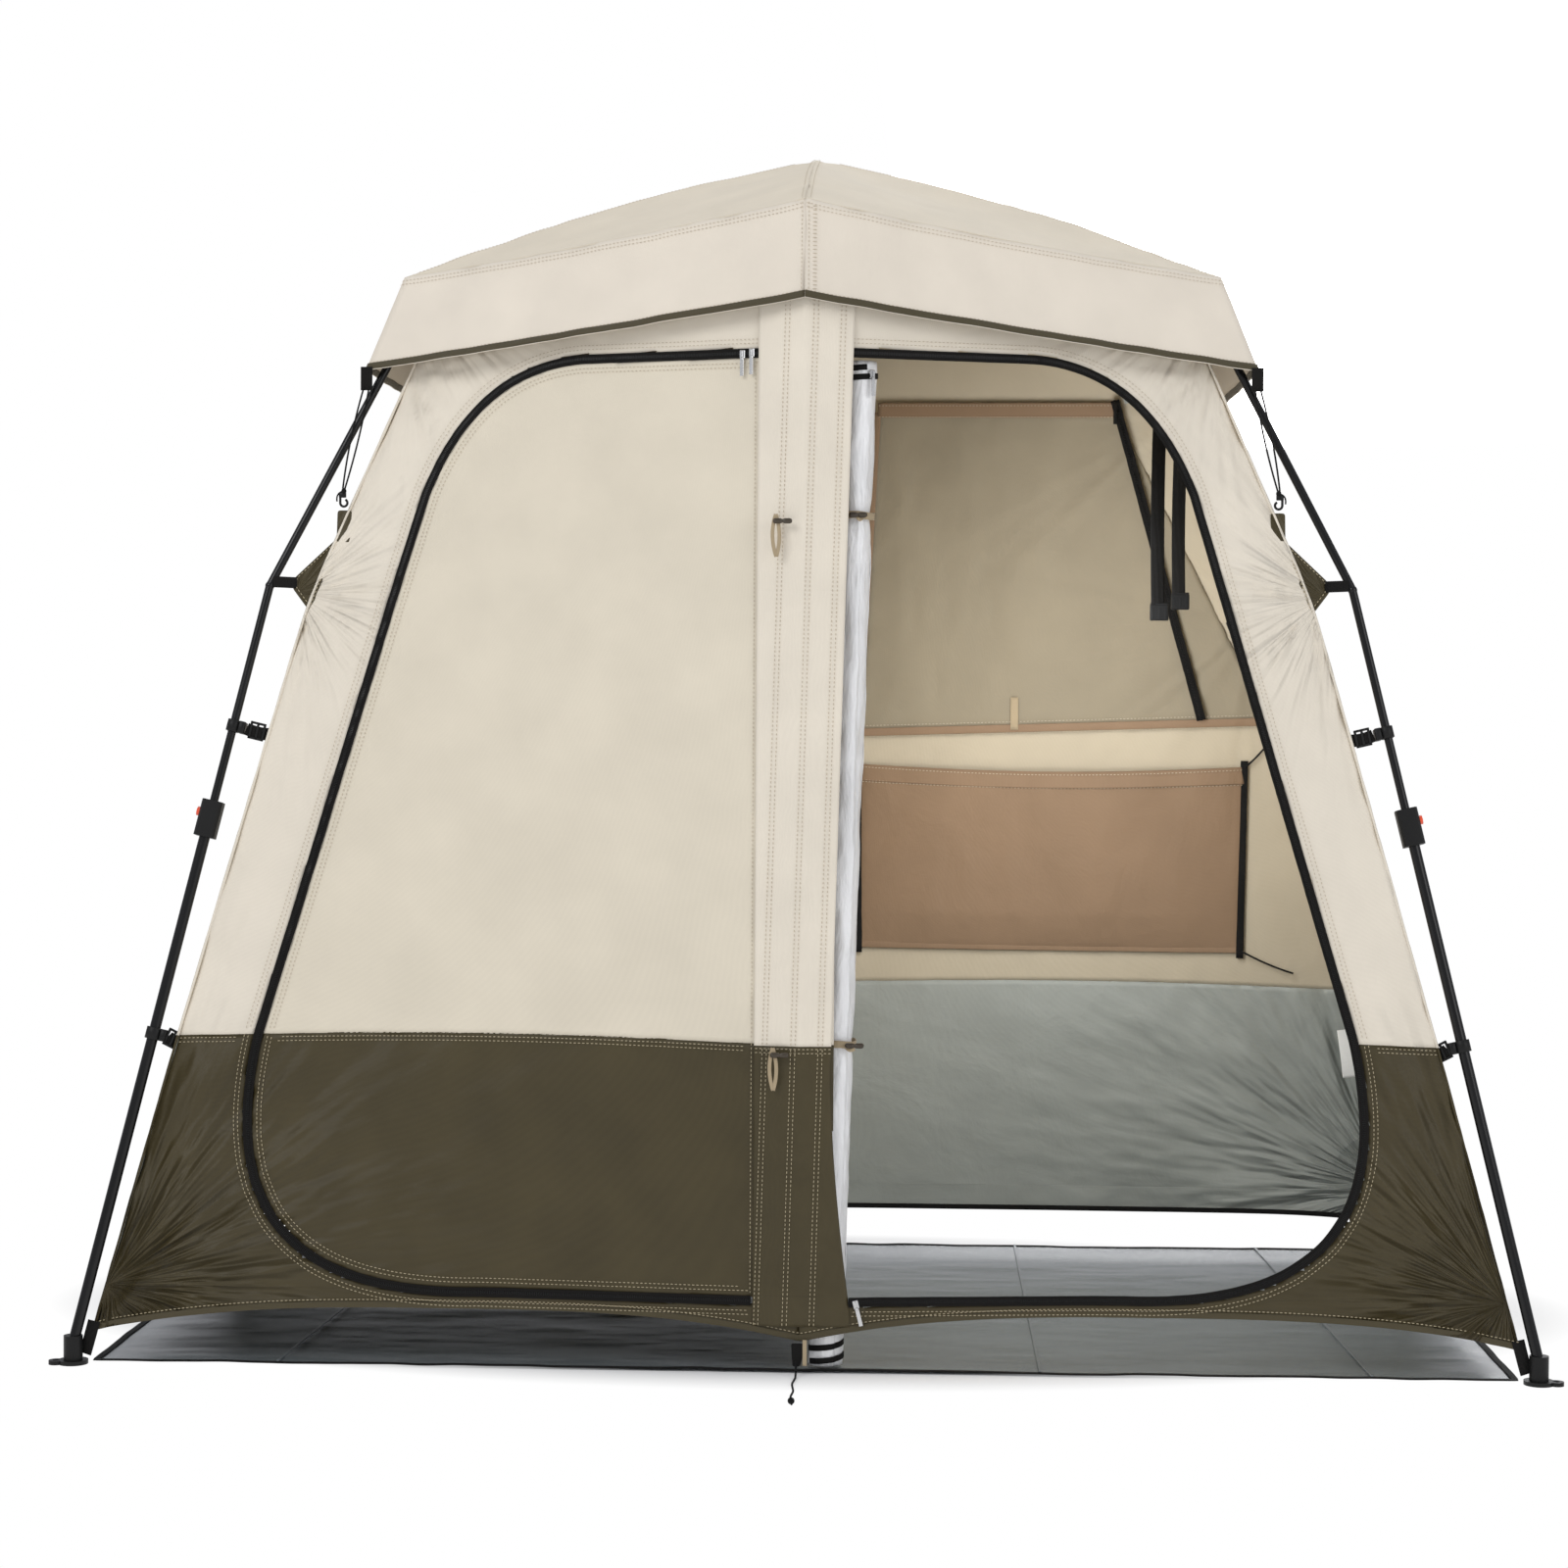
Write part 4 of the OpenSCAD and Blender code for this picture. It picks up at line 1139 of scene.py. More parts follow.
def make_ties():
    loops, barrels = [], []
    for z in TIE_HEIGHTS:
        a = np.linspace(-math.pi, math.pi, 60)
        c = roll_centre(np.full(60, z + TIE_RISE))
        n = around(a)
        loops.append(ribbon(c + n * 0.0277 + [0, 0, 0.0012] * np.sin(3 * a)[:, None], n, 0.0105, 0.0013,
                            closed=True))
        centre = np.array([0.078, roll_centre(z)[1] - 0.035, z + TIE_RISE])
        start = roll_centre(z + TIE_RISE) + [0.012, -0.0272, 0.0]
        hop = bend(start, (start + centre) / 2 + [0, -0.004, -0.010], centre + [0, 0.001, -0.004], 16)
        loops.append(ribbon(hop, facing((0.3, -0.95, 0.1), 17), 0.0060, 0.0012))
        barrels.append(toggle(centre))
        sewn = np.array([-0.041, -(SEAM_D + 0.0105), z + 0.010])
        low = np.array([-0.040, -(SEAM_D + 0.0115), z - 0.052])
        for side in (-1, 1):
            path = bend(sewn, (sewn + low) / 2 + [0.010 * side, -0.004, 0], low, 30)
            loops.append(ribbon(path, facing(FORWARD, 31), 0.0055, 0.0011))
        barrels.append(toggle(np.array([-0.031, -(SEAM_D + 0.015), z])))
    link_mesh("tie_loops", *joined(loops), "tan_web", stands_for=["tie_loops"])
    link_mesh("tie_toggles", *joined(barrels), "brown", stands_for=["tie_toggles"])


def puller(place, down, normal):
    """Zip slider with its hanging tab: how far down and out each part is, and its size."""
    down, normal = np.asarray(down, float), np.asarray(normal, float)
    axes = [np.cross(down, normal), down, normal]
    parts = ((0.0, 0.0035, (0.0085, 0.0125, 0.0040), 0.35), (0.0, 0.0062, (0.0028, 0.0090, 0.0024), 0.35),
             (0.019, 0.0062, (0.0058, 0.0260, 0.0014), 0.4), (0.0065, 0.0066, (0.0044, 0.0040, 0.0022), 0.4))
    return joined([rounded_box(place + down * below + normal * out, size, axes, bevel)
                   for below, out, size, bevel in parts])


def make_pullers():
    left = on_front(np.array([-0.092, -0.078]), np.array([1.497, 1.499]), 0, 0.0008)
    n = long_wall_normals(left)
    small_parts("left_door_pullers", [puller(p, (0, 0, -1.0), q) for p, q in zip(left, n)], "steel")
    right = on_front(np.array([0.083]), np.array([DOOR_FOOT + 0.004]), 0, 0.0008)
    link_mesh("right_door_puller", *puller(right[0], (0.25, 0, -0.97), (0, -1.0, 0)), "steel", smooth=False)
    top = on_roll(np.array([-0.9]), np.array([1.470]), 0.001)
    link_mesh("rolled_door_puller", *puller(top[0], (0, 0, -1.0), (0.62, -0.78, 0)), "steel", smooth=False)


# ---------------------------------------------------------------- inside the rooms

def on_back(x, z, inwards):
    """Points inside the back wall, that far from its outer face."""
    return on_front(x, z, 0, -np.asarray(inwards, float), front=False, door=False)


def inside_path(points, inwards, step=0.008):
    """(path, normals) of a line along the inside of the back wall."""
    line = resample(np.asarray(points, float), step)
    path = on_back(line[:, 0], line[:, 1], np.full(len(line), inwards))
    return path, -long_wall_normals(path, front=False)


def inside_ribbon(name, points, inwards, width, thick, mat, **kind):
    path, n = inside_path(points, inwards)
    return link_mesh(name, *ribbon(path, n, width, thick), mat, **kind)


WINDOW = ((0.096, 1.515), (0.513, 1.500), (0.792, 0.962), (0.064, 0.938))
WINDOW_ZIP = ((0.510, 1.520), (0.658, 1.013), (0.672, 0.964))


def on_side(points, side):
    """(x, z) points of the right-hand room, or their mirror images in the left one."""
    return [np.array([side * x, z]) for x, z in points]


def quad_grid(corners, s, t):
    tl, tr, br, bl = corners
    s, t = s[..., None], t[..., None]
    return (tl * (1 - s) + tr * s) * (1 - t) + (bl * (1 - s) + br * s) * t


def make_window_flaps():
    for name, side in SIDES.items():
        corners = on_side(WINDOW, side)
        t, s = grid(np.linspace(0, 1, 74), np.linspace(0, 1, 74))
        flat = quad_grid(corners, s, t)
        edge = np.minimum(np.minimum(s, 1 - s), np.minimum(t, 1 - t))
        belly = np.clip(edge / 0.10, 0, 1)
        off = 0.0055 + belly * (0.0035 + 0.0045 * fractal(flat[..., 0] / 0.09, flat[..., 1] / 0.30, 0, 51, 3))
        off = off + 0.0018 * pucker(edge, (s + t) * 0.6, 0.05, 0.030, 53)
        points = on_back(flat[..., 0], flat[..., 1], np.maximum(off, 0.0035))
        flap = cloth_grid("window_flap_" + name, points, "flap",
                          stands_for=["window_flaps"] if side > 0 else [], flip=side > 0)
        tl, tr, br, bl = corners
        trims = [inside_ribbon("window_band_" + name, [tl + [0, 0.004], tr + [0, 0.004]], 0.0130, 0.026,
                               0.0012, "pocket"),
                 inside_ribbon("window_foot_" + name, [bl, br], 0.0125, 0.014, 0.0012, "pocket"),
                 inside_ribbon("window_zip_" + name, on_side(WINDOW_ZIP, side), 0.0225, 0.016, 0.0014, "tape"),
                 inside_ribbon("window_edge_" + name, [tl, bl], 0.0125, 0.012, 0.0012, "pocket")]
        rows = []
        for a, b in ((tl, tr), (bl, br)):
            for dz in (-0.008, 0.012):
                path, n = inside_path([a + [0, dz], b + [0, dz]], 0.0142, 0.004)
                rows.append(stitches(path, n))
        trims.append(small_parts("window_stitches_" + name, rows, "thread_beige"))
        teeth, n = inside_path(on_side(WINDOW_ZIP, side), 0.0243, 0.0028)
        rows = [rounded_box(p + q * 0.0006, (0.0050, 0.0014, 0.0013), None, 0.3) for p, q in zip(teeth, n)]
        trims.append(small_parts("window_teeth_" + name, rows, "teeth"))
        declare(flap, 0.73, 0.57, trims)
        inside_ribbon("vent_zip_" + name, [(side * 0.717, 1.138), (side * 0.785, 0.974)], 0.0225, 0.016,
                      0.0014, "tape")
        inside_ribbon("flap_strap_" + name, [(side * 0.344, 1.003), (side * 0.344, 0.945)], 0.0155, 0.014,
                      0.0014, "tan_web")
        inside_ribbon("flap_tie_" + name, [(side * 0.506, 1.575), (side * 0.537, 1.517)], 0.0045, 0.018, 0.0016,
                      "grey_in", slot="flap_fabric")
        slider, n = inside_path([tr + [-side * 0.003, 0.010], tr + [0, -0.010]], 0.0245)
        link_mesh("window_puller_" + name, *puller(slider[0], (0, 0, -1.0), (0, -1.0, 0)), "plastic",
                  slot="zip_tape", smooth=False)


def pocket_standoff(fx, fz):
    mouth = np.clip(np.sin(np.pi * np.clip(fx, 0, 1)), 0, 1) ** 0.45
    return 0.006 + mouth * (0.017 * np.clip(fz / 0.2, 0, 1) ** 0.6 + 0.010 * fz ** 2)


POCKET_X, POCKET_W, POCKET_Z, POCKET_H = 0.066, 0.684, 0.547, 0.334


def pocket_point(fx, fz, out=0.0):
    """fx runs along the pocket and fz from its foot to its mouth, which sags."""
    x = POCKET_X + POCKET_W * fx
    z = POCKET_Z + POCKET_H * fz - 0.012 * np.sin(np.pi * fx) * fz ** 3
    lumps = 0.0028 * fractal(x / 0.07, z / 0.16, 0, 61, 3)
    off = pocket_standoff(fx, fz) + lumps * np.sin(np.pi * np.clip(fx, 0, 1))
    return on_back(x, z, np.maximum(off, 0.004) + out)


def make_pocket():
    fz, fx = grid(np.linspace(0, 1, 46), np.linspace(0, 1, 92))
    panel = cloth_grid("storage_pocket", pocket_point(fx, fz), "pocket", stands_for=["storage_pocket"],
                       flip=True)
    trims = []
    along = np.linspace(0, 1, 120)
    n = facing(FORWARD, 120)
    for k, (height, width) in enumerate(((0.955, 0.030), (0.018, 0.012))):
        path = pocket_point(along, np.full(120, height), 0.0008)
        trims.append(link_mesh("pocket_band_%d" % k, *ribbon(path, n, width, 0.0013), "pocket"))
    rows = [stitches(pocket_point(along, np.full(120, h), 0.0014), n) for h in (0.905, 0.915, 0.985)]
    trims.append(small_parts("pocket_stitches", rows, "thread_beige", slot="pocket_fabric"))
    for k, fx in enumerate((0.0, 1.0)):
        x = POCKET_X + POCKET_W * fx
        path, m = inside_path([(x, 0.538), (x, 0.892)], 0.0085)
        trims.append(link_mesh("pocket_webbing_%d" % k, *ribbon(path, m, 0.013, 0.0018), "webbing"))
    declare(panel, 0.70, 0.345, trims)
    for k, (a, b) in enumerate((((0.750, 0.880), (0.793, 0.927)), ((0.752, 0.551), (0.845, 0.512)))):
        line = bend(a, (np.array(a) + b) / 2 + [0, -0.006], b, 20)
        path, _ = inside_path(line, 0.0120, 0.005)
        link_mesh("pocket_elastic_%d" % k, *tube(path, 0.0017, 8), "cord")


def make_room_divider():
    z = wall_rows(0.07, 1.60, 0.02)
    y = np.linspace(-0.535, 0.535, 60)
    zz, yy = grid(z, y)
    x = 0.006 * fractal(yy / 0.16, zz / 0.6, 0, 81, 3) * np.clip((0.54 - np.abs(yy)) / 0.08, 0, 1)
    curtain = cloth_grid("room_divider", np.stack([x, yy, zz], -1), "tan", stands_for=["room_divider"],
                         flip=True)
    declare(curtain, 1.09, 1.53)


def make_hanging_straps():
    for name, body in (("strap_a", "hanging_strap_a"), ("strap_b", "hanging_strap_b")):
        low, high = node_box(name)
        x, y = (low[0] + high[0]) / 2, (low[1] + high[1]) / 2
        z = np.linspace(high[2], low[2] + 0.026, 60)
        drop = (high[2] - z) / (high[2] - low[2])
        path = np.stack([x - 0.004 * np.sin(drop * 2.6), y + 0.0012 * np.sin(drop * 5), z], 1)
        web = link_mesh(name + "_web", *ribbon(path, facing((0.2, -0.98, 0), 60), 0.0225, 0.0016), "webbing",
                        body=body, stands_for=[name])
        foot = np.array([x, y, low[2] + 0.014])
        shell = rounded_box(foot, (0.030, 0.0085, 0.026), None, 0.35)
        prongs = [rounded_box(foot + [dx, 0, -0.002], (0.0042, 0.0090, 0.018), None, 0.3)
                  for dx in (-0.0105, 0.0, 0.0105)]
        bar = rounded_box(foot + [0, 0, 0.013], (0.029, 0.0070, 0.0050), None, 0.35)
        small_parts(name + "_buckle", [shell, bar] + prongs, "plastic", body=body, slot="webbing")


# ---------------------------------------------------------------- corners, clips and tethers

QUADRANTS = {"fl": (-1, -1), "fr": (1, -1), "bl": (-1, 1), "br": (1, 1)}


def mirrored(parts, corner):
    """Mirrors (verts, faces) from the back right corner into another, keeping the faces outwards."""
    verts, faces = parts
    x, y = QUADRANTS[corner]
    return np.asarray(verts, float) * [x, y, 1], faces if x * y > 0 else [tuple(reversed(f)) for f in faces]


def at_corners(name, parts, mat, **kind):
    """A piece made of the same parts at all four corners."""
    return link_mesh(name, *joined([mirrored(p, q) for q in QUADRANTS for p in parts]), mat, **kind)


def rounded_outline(points, step=0.003, passes=6):
    """Closed outline through a few points with its corners softened."""
    points = np.asarray(points, float)
    line = resample(np.vstack([points, points[:1]]), step)[:-1]
    for _ in range(passes):
        line = (np.roll(line, 1, 0) + 2 * line + np.roll(line, -1, 0)) / 4
    return line


def patch(outline, y_of, thickness):
    """Flat patch with an outline in x and z, on a face whose depth is y_of(x, z)."""
    n = len(outline)
    back = np.stack([outline[:, 0], y_of(outline), outline[:, 1]], 1)
    front = back + [0, thickness, 0]
    centre = outline.mean(0)[None]
    mid = np.array([[centre[0, 0], y_of(centre)[0], centre[0, 1]]])
    verts = np.vstack([back, front, mid, mid + [0, thickness * 1.25, 0]])
    faces = []
    for i in range(n):
        k = (i + 1) % n
        faces += [(i, k, n + k, n + i), (k, i, 2 * n), (n + i, n + k, 2 * n + 1)]
    return verts, faces


GUSSET_EAR = ((0.786, 1.158), (0.783, 1.172))
GUSSET_SPAN = (1.123, 1.238)
GUSSET_TAB = ((0.7215, 1.228), (0.7215, 1.277), (0.700, 1.277), (0.700, 1.228))


def corner_depth(points):
    """The front face of the corner seam, just behind the long wall's edge."""
    return half_d(points[:, 1]) - 0.0015 + 0.045 * np.maximum(points[:, 0] - half_w(points[:, 1]), 0)


def make_gussets():
    h = np.linspace(GUSSET_SPAN[1], GUSSET_SPAN[0], 12)
    seam = np.stack([half_w(h) - 0.004, h], 1)
    outline = rounded_outline(np.vstack([seam, GUSSET_EAR]), 0.002, 4)
    body = patch(outline, corner_depth, 0.0016)
    tab = patch(rounded_outline(GUSSET_TAB, 0.002, 4), lambda p: corner_depth(p) + 0.0018, 0.0016)
    rim = outline * 0.90 + outline.mean(0) * 0.10
    path = np.stack([rim[:, 0], corner_depth(rim) + 0.0021, rim[:, 1]], 1)
    rows = stitches(np.vstack([path, path[:1]]), facing(BACKWARD, len(path) + 1), lift=0.0002)
    edge = np.stack([outline[:, 0], corner_depth(outline) + 0.0008, outline[:, 1]], 1)
    piping = tube(np.vstack([edge, edge[:1]]), 0.0014, 6, caps=False)
    at_corners("corner_gussets", (body, tab), "olive", smooth=False, stands_for=["corner_gussets"])
    at_corners("gusset_piping", [piping], "binding")
    at_corners("gusset_stitches", [rows], "thread", smooth=False)


def leg_point(s):
    return LEG_FOOT + LEG_DIR * s


def leg_axes():
    """The leg's outward, sideways and upward directions."""
    out = np.array([1.0, 0, 0]) - LEG_DIR * LEG_DIR[0]
    out /= np.linalg.norm(out)
    return out, np.cross(LEG_DIR, out), LEG_DIR


def open_ring(centre, r_in, r_out, height):
    """C-shaped clip around the leg, open on its outer side. Returns (verts, faces)."""
    out, side, up = leg_axes()
    gap = 0.55
    a = np.linspace(gap, 2 * math.pi - gap, 40)
    rings = []
    for r, h in ((r_in, 0.0), (r_in, height), (r_out - 0.0006, height), (r_out, height - 0.0006),
                 (r_out, 0.0006), (r_out - 0.0006, 0.0)):
        rings.append(centre + r * (np.cos(a)[:, None] * out + np.sin(a)[:, None] * side) + up * h)
    verts = np.stack(rings, 1).reshape(-1, 3)
    k, n = 6, len(a)
    faces = [(i * k + j, (i + 1) * k + j, (i + 1) * k + (j + 1) % k, i * k + (j + 1) % k)
             for i in range(n - 1) for j in range(k)]
    faces.append(tuple(range(k)))
    faces.append(tuple((n - 1) * k + j for j in range(k - 1, -1, -1)))
    return verts, faces


def frame_buckle(centre, along, normal):
    """Tri-glide buckle: a frame with a middle bar."""
    width, length, bar, thick = 0.027, 0.024, 0.0036, 0.0030
    side = np.cross(along, normal)
    axes = [side, along, normal]
    bars = [(along * s * (length - bar) / 2, (width, bar, thick)) for s in (-1, 0, 1)]
    bars += [(side * s * (width - bar) / 2, (bar, length, thick)) for s in (-1, 1)]
    return joined([rounded_box(centre + shift, size, axes, 0.35) for shift, size in bars])


CLIP_WALL, CLIP_H, CLIP_PLAY = 0.0032, 0.018, 0.0010
WEB_W, WEB_THICK = 0.019, 0.0015


def make_leg_fixings():
    straps, clips, buckles = [], [], []
    out, side, up = leg_axes()
    for s, bore in ((LOWER_CLIP_AT, LOWER_R + CLIP_PLAY), (UPPER_CLIP_AT, UPPER_R + CLIP_PLAY)):
        centre = leg_point(s)
        clips.append(open_ring(centre, bore, bore + CLIP_WALL, CLIP_H))
        clips.append(rounded_box(centre - out * (bore + 0.0068) + up * 0.009, (0.0095, 0.020, 0.018),
                                 [out, side, up], 0.25))
        wall = np.array([float(half_w(centre[2])) + 0.002, float(half_d(centre[2])) - 0.006, centre[2] - 0.004])
        end = centre - out * (bore + 0.013) + up * 0.009
        path = bend(wall, (wall + end) / 2 + [0, 0.001, -0.004], end, 14)
        along = (end - wall) / np.linalg.norm(end - wall)
        face = np.cross(along, up)
        face *= 1 if face[1] > 0 else -1
        face /= np.linalg.norm(face)
        straps.append(ribbon(path, facing(face, 15), WEB_W, WEB_THICK))
        buckles.append(frame_buckle(wall * 0.45 + end * 0.55 + face * 0.002, along, face))
    foot = np.array([float(half_w(0.06)) + 0.002, float(half_d(0.06)) + 0.0015, 0.062])
    end = LEG_FOOT + [-0.017, -0.004, -0.016]
    straps.append(ribbon(bend(foot, (foot + end) / 2 + [0, 0.002, -0.003], end, 14),
                         facing((0.15, 0.98, 0.1), 15), WEB_W, WEB_THICK))
    ear = np.array([0.780, float(half_d(1.165)) + 0.0025, 1.165])
    tip = LEG_BEND + [-0.006, 0.004, 0.006]
    straps.append(ribbon(bend(ear, (ear + tip) / 2, tip, 10), facing(BACKWARD, 11), 0.017, WEB_THICK))
    at_corners("leg_straps", straps, "webbing", stands_for=["leg_straps"])
    at_corners("leg_clips", clips, "plastic", stands_for=["leg_clips"])
    at_corners("leg_buckles", buckles, "plastic", smooth=False)


def make_cap_tethers():
    cords, tabs, hooks = [], [], []
    tab = np.array([0.680, 0.3510, 1.480])
    tabs.append(rounded_box(tab, (0.018, 0.0018, 0.036), None, 0.3))
    hook = np.array([0.711, 0.3705, 1.292])
    for shift in (-0.0040, 0.0040):
        path = bend(tab + [shift, 0.0012, -0.014], (tab + hook) / 2 + [shift * 2.2, 0.006, 0],
                    hook + [shift * 0.4, 0, 0.018], 26)
        cords.append(tube(path, 0.0014, 8))
    knot = hook + [0, 0, 0.014]
    cords.append(tube(np.array([knot + [0, 0, dz] for dz in np.linspace(-0.005, 0.005, 9)]),
                      0.0040 * np.sqrt(np.clip(1 - np.linspace(-1, 1, 9) ** 2, 0.06, 1)), 10))
    cords.append(tube(bend(knot, knot + [0.012, 0.002, -0.002], knot + [0.010, 0.003, -0.016], 10), 0.0012, 6))
    a = np.linspace(0, 1.35 * math.pi, 20)
    bow = np.stack([0.0055 * np.cos(a), 0 * a, -0.004 - 0.0055 * np.sin(a)], 1) + hook
    hooks.append(tube(np.vstack([[hook + [0.0055, 0, 0.010]], bow]), 0.0019, 8))
    hooks.append(rounded_box(hook + [0.002, 0, 0.008], (0.011, 0.0045, 0.008), None, 0.35))
    at_corners("cap_tethers", cords, "cord", stands_for=["cap_tethers"])
    at_corners("tether_tabs", tabs, "webbing", smooth=False)
    at_corners("tether_hooks", hooks, "plastic")


# ---------------------------------------------------------------- hem, seams and small things

def hem_path(front):
    """The lower edge of a long wall, from left to right."""
    u = np.linspace(-1, 1, 220)
    z = HEM_H + hem_arch(np.abs(u), front) + 0.004
    return on_front(u * HEM_W, z, 0, 0.0003, front=front, door=front)


def side_hem_path(side):
    v = np.linspace(0, 1, 110)
    h = np.full(110, HEM_H)
    points = side_wall_point(v, h, side)
    points[:, 0] += side * (side_wall_relief(v, h, SEED_SIDE + side) + 0.0003)
    points[:, 2] += hem_arch(v) + 0.004
    return points


def edged(path, normals, width):
    """A binding folded over an edge: its outer and its inner side."""
    return [ribbon(path, normals, width, 0.0016), ribbon(path - normals * 0.0018, -normals, width, 0.0012)]


def make_hems():
    """Bindings of the lower edge; gives the front one's row of stitches."""
    path = hem_path(True)
    n = long_wall_normals(path)
    link_mesh("hem_front", *joined(edged(path, n, 0.009)), "binding")
    front_row = stitches(path + [0, 0, 0.0075], n, lift=0.0008)
    path = hem_path(False)
    bindings = edged(path, long_wall_normals(path, False), 0.009)
    for side in (-1, 1):
        path = side_hem_path(side)
        bindings += edged(path, facing((side, 0, SIDE_TILT), len(path)), 0.011)
    link_mesh("hem_binding", *joined(bindings), "webbing")
    return front_row


def band_row(u, dz, out, front=True):
    """(a line just under the top of the lower band, how far it is inside the doorway)."""
    z = BAND_H + dz + BAND_BOW * np.sin(np.pi * np.abs(u))
    path = on_front(u * half_w(z), z, 0, out, front=front, door=front)
    return path, outline_distance(DOOR, np.abs(path[:, 0]), path[:, 2])[0]


def make_hems_and_seams():
    rows = [make_hems()]
    for front, sign, dz in product((True, False), (-1, 1), BAND_ROWS):
        path, inside = band_row(sign * np.linspace(0.06, 0.998, 200), dz, 0.0006, front)
        if front:
            path = path[inside < -0.026]
        if len(path) > 4:
            rows.append(stitches(path, long_wall_normals(path, front), lift=0.0006))
    for side, dz in product((-1, 1), BAND_ROWS):
        v, h = np.linspace(0.01, 0.99, 120), np.full(120, BAND_H + dz)
        path = side_wall_point(v, h, side)
        path[:, 0] += side * (side_wall_relief(v, h, SEED_SIDE + side) + 0.0008)
        rows.append(stitches(path, facing((side, 0, SIDE_TILT), 120), lift=0.0004))
    small_parts("band_stitches", rows, "thread")

    rows = []
    for dz in BAND_ROWS:
        path, inside = band_row(-np.linspace(0.06, 0.9, 200), dz, 0.0022)
        path = path[inside > 0.034]
        rows.append(stitches(path, long_wall_normals(path), lift=0.0006))
    small_parts("door_band_stitches", rows, "thread", body="door")

    for name, low, high, mat in (("corner_seams_upper", BAND_H, EAVE_H, "beige"),
                                 ("corner_seams_lower", HEM_H, BAND_H, "olive")):
        h = wall_rows(low, high, 0.012)
        line = np.stack([half_w(h) + 0.0006, half_d(h) + 0.0006, h], 1)
        at_corners(name, [tube(line, 0.0021 + 0.0004 * noise3(h / 0.02, 0, 0, 91), 8)], mat)


def make_groundsheet():
    low, high = node_box("groundsheet")
    x = np.linspace(low[0], high[0], 240)
    y = np.linspace(low[1], high[1], 130)
    yy, xx = grid(y, x)
    edge = np.minimum(high[0] - np.abs(xx), high[1] - np.abs(yy))
    lumps = 0.0008 * fractal(xx / 0.16, yy / 0.045, 0, 101, 3) + 0.0012 * fractal(xx / 0.4, yy / 0.3, 0, 103, 2)
    z = 0.0030 + np.abs(lumps) * np.clip(edge / 0.03, 0.15, 1) + 0.0010 * pucker(edge, xx + yy, 0.03, 0.05, 105)
    wander = 0.0025 * noise3(xx / 0.22, 0, 0, 107) * (np.abs(yy) / high[1]) ** 6
    points = np.stack([xx, yy + wander, np.maximum(z, 0.0020)], -1)
    sheet = link_mesh("groundsheet", points.reshape(-1, 3), grid_faces(130, 240), "ground", flat=False,
                      stands_for=["groundsheet"])
    thicken(sheet, 0.0009)
    rim = np.concatenate([points[0], points[1:, -1], points[-1, ::-1][1:], points[::-1, 0][1:]])
    n = facing(UP, len(rim))
    trims = [link_mesh("groundsheet_binding", *ribbon(rim + [0, 0, 0.0002], n, 0.011, 0.0014, closed=True),
                       "webbing", flat=False)]
    seams = []
    for x0, x1 in ((-0.715, -0.774), (0.354, 0.354), (0.790, 0.838)):
        t = np.linspace(0, 1, 90)
        seams.append(ribbon(np.stack([x1 + (x0 - x1) * t, low[1] + (high[1] - low[1]) * t, 0.0056 + 0 * t], 1),
                            facing(UP, 90), 0.0042, 0.0009))
    trims.append(link_mesh("groundsheet_seams", *joined(seams), "ground", flat=False))
    declare(sheet, high[0] - low[0], high[1] - low[1], trims)


GUY = ((-4, -566, 20), (-4, -570, 14), (-4, -576, 7), (-4, -584, 3), (-4, -594, 2), (-5, -606, 2),
       (-6, -618, 2), (-7, -630, 2), (-7, -642, 2), (-6, -654, 2), (-5, -666, 2), (-4, -676, 2),
       (-4, -688, 2), (-5, -700, 2), (-6, -712, 2), (-6, -724, 2), (-5, -736, 2), (-4, -748, 2))


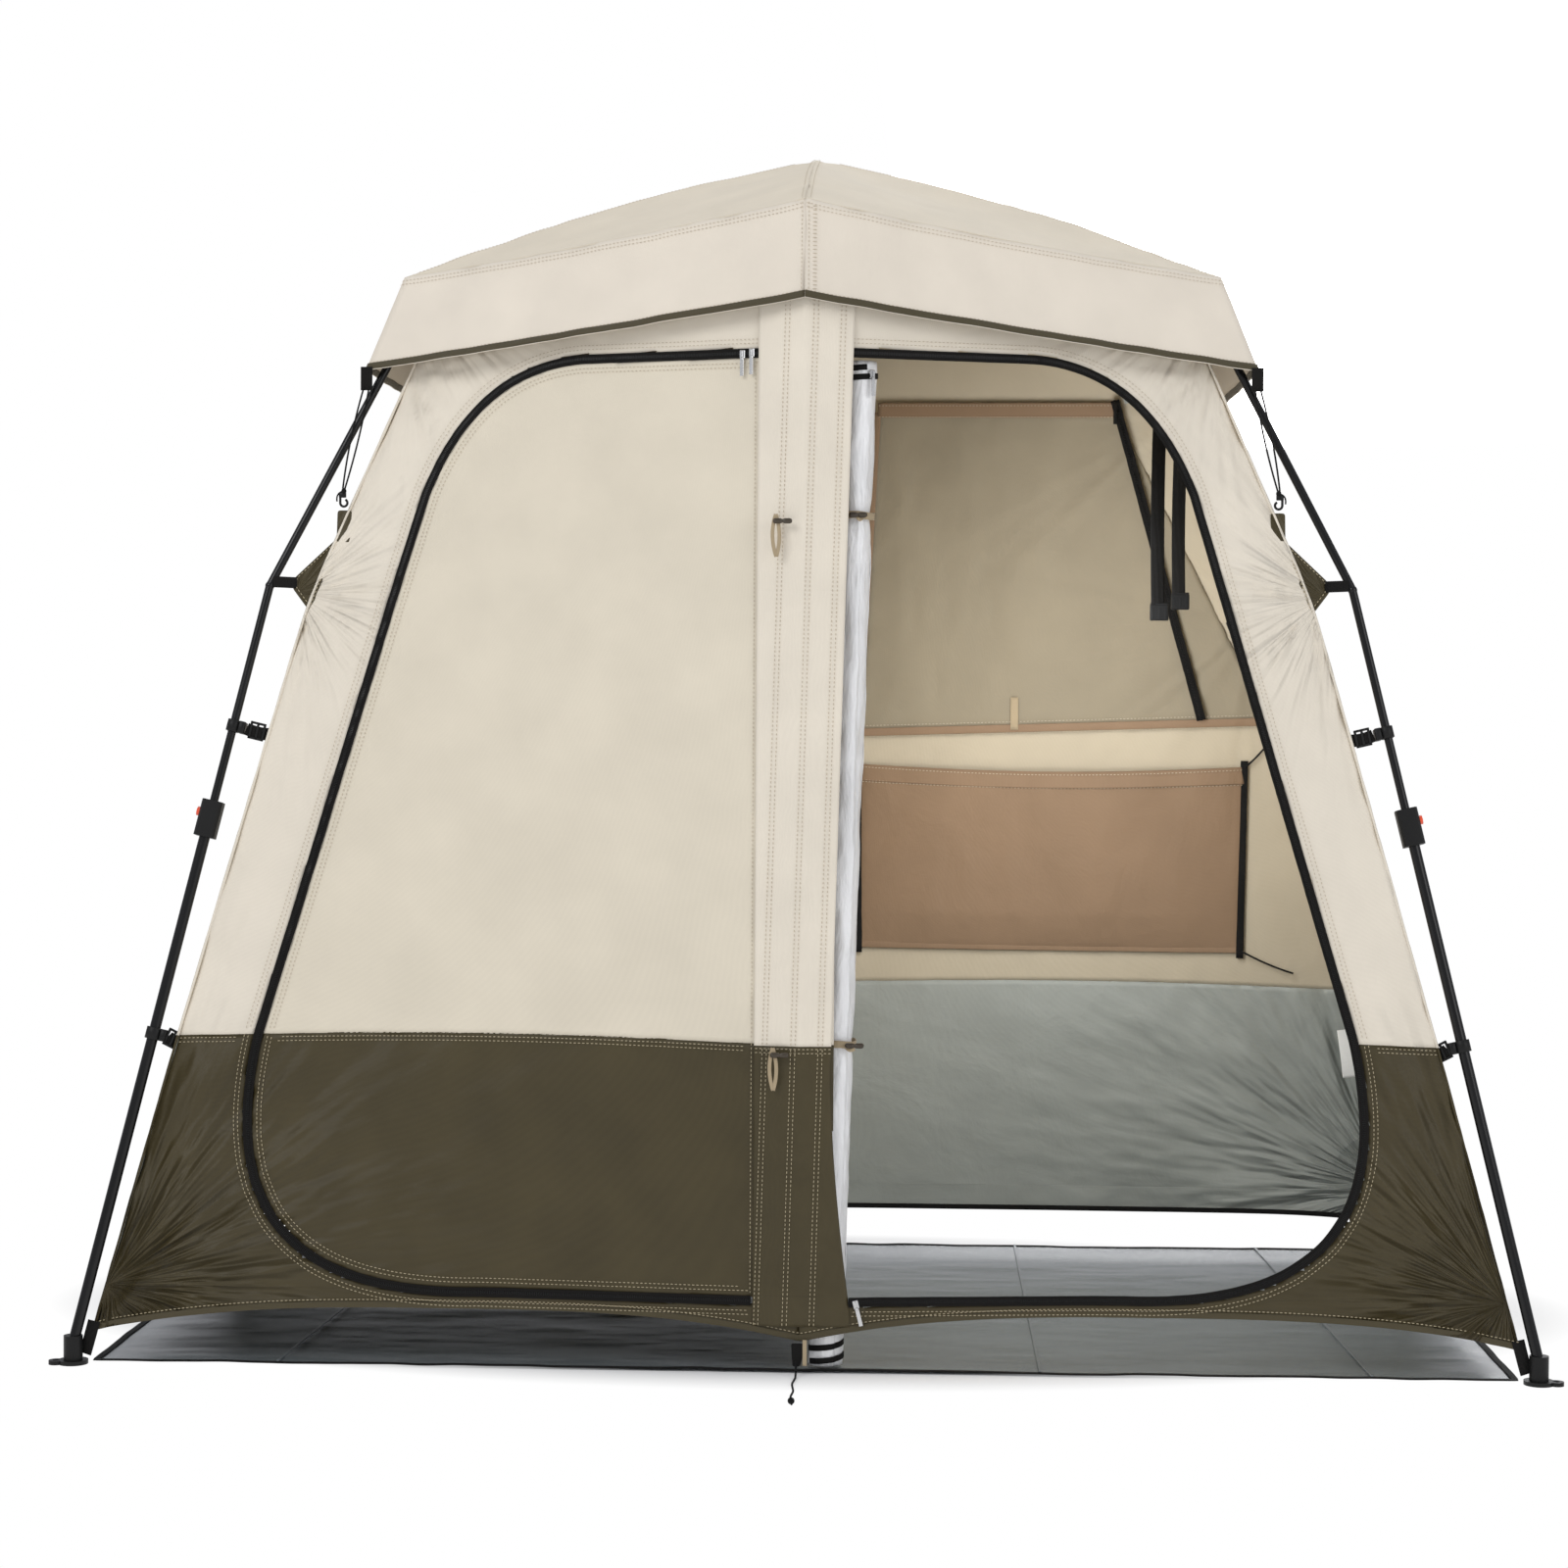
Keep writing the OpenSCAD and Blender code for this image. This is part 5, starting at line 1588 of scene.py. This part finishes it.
def make_guy():
    points = np.array(GUY) / 1000.0
    data = bpy.data.curves.new("guy_cord", "CURVE")
    data.dimensions = "3D"
    data.bevel_depth = 0.0016
    data.bevel_resolution = 3
    data.use_fill_caps = True
    spline = data.splines.new("POLY")
    spline.points.add(len(points) - 1)
    for target, p in zip(spline.points, points):
        target.co = (*p, 1.0)
    data.materials.append(MAT["cord"])
    cord = add_object("guy_cord", data)
    settle(cord, "shell", flat=False, stands_for=["guy_cord"])
    low, high = node_box("guy_knot")
    c = (low + high) / 2
    t = np.linspace(-1, 1, 11)
    knot = tube(np.stack([c[0] + 0 * t, c[1] + 0.0046 * t, c[2] - 0.0006 + 0 * t], 1),
                0.0042 * np.sqrt(np.clip(1 - t ** 2, 0.08, 1)), 12)
    a = np.linspace(0, 2 * math.pi * 1.6, 40)
    coil = np.stack([c[0] + 0.0038 * np.cos(a), c[1] - 0.003 + 0.0036 * a / a[-1],
                     c[2] - 0.0006 + 0.0038 * np.sin(a)], 1)
    wrap = tube(coil, 0.0012, 6)
    tail = tube(bend((c[0], c[1] - 0.004, 0.0030), (c[0] + 0.002, c[1] - 0.010, 0.0022),
                     (c[0] + 0.001, c[1] - 0.013, 0.0020), 8), 0.0014, 6)
    knot = link_mesh("guy_knot", *joined([knot, wrap, tail]), "cord", flat=False, stands_for=["guy_knot"])
    tri = [(-0.0115, 0.0465), (0.0115, 0.0465), (0.0015, 0.0125), (-0.0095, 0.0125)]
    web = patch(rounded_outline(tri, 0.002, 2), lambda p: np.full(len(p), -0.5635), -0.0016)
    link_mesh("guy_tab", *web, "webbing", flat=False, smooth=False, stands_for=["guy_tab"])
    strap = ribbon(np.stack([np.full(12, 0.0085), np.full(12, -0.5660), np.linspace(0.052, 0.014, 12)], 1),
                   facing(FORWARD, 12), 0.0062, 0.0013)
    link_mesh("guy_tan_strap", *strap, "tan_web", flat=False)


def make_care_tag():
    z = np.linspace(0.413, 0.330, 20)
    path = np.stack([0.936 + 0.10 * (0.413 - z), 0.462 - 0.02 * np.sin((0.413 - z) * 20), z], 1)
    link_mesh("care_tag", *ribbon(path, facing(FORWARD, 20), 0.027, 0.0006), "label")


def paint_frame():
    """Materials of the CAD parts that are seen as they are."""
    kinds = (("arm_", "tube"), ("upper_leg", "tube"), ("lower_leg", "tube"), ("lock", "plastic"),
             ("foot", "plastic"), ("hub", "plastic"), ("button", "orange"))
    for part, piece in frame["nodes"].items():
        for start, mat in kinds:
            if part.startswith(start):
                for k in range(len(piece.data.materials)):
                    piece.data.materials[k] = MAT[mat]
                if not piece.data.materials:
                    piece.data.materials.append(MAT[mat])


# ---------------------------------------------------------------- finishing and the last line

def declare_walls():
    """Works out the cuts of the wall panels and the left door."""
    upper, lower = EAVE_H - BAND_H + SEAM_LIFT, BAND_H - HEM_H
    for name in SIDES:
        for start, width, height in (("wall_front_", 0.94, upper), ("band_front_", HEM_W, lower),
                                     ("wall_back_", 0.94, upper), ("band_back_", HEM_W, lower),
                                     ("wall_", 0.98, upper), ("band_", 2 * HEM_D, lower)):
            declare(MADE[start + name], width, height)
    declare(MADE["door_left_upper"], 0.80, 1.02)
    declare(MADE["door_left_lower"], 0.78, 0.38)


def flatten_all():
    """Gives each mesh piece marked flat its own copy of its mesh."""
    for piece in list(bpy.data.objects):
        if piece.get("flat") and piece.type == "MESH":
            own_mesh(piece)


def main():
    for make in (make_materials, make_camera, make_studio, make_long_walls, make_side_walls, make_left_door,
                 make_zips, make_centre_strip, make_roof, make_rolled_door, make_ties, make_pullers,
                 make_window_flaps, make_pocket, make_room_divider, make_hanging_straps, make_gussets,
                 make_leg_fixings, make_cap_tethers, make_hems_and_seams, make_groundsheet, make_guy,
                 make_care_tag, paint_frame, declare_walls, flatten_all):
        make()


main()
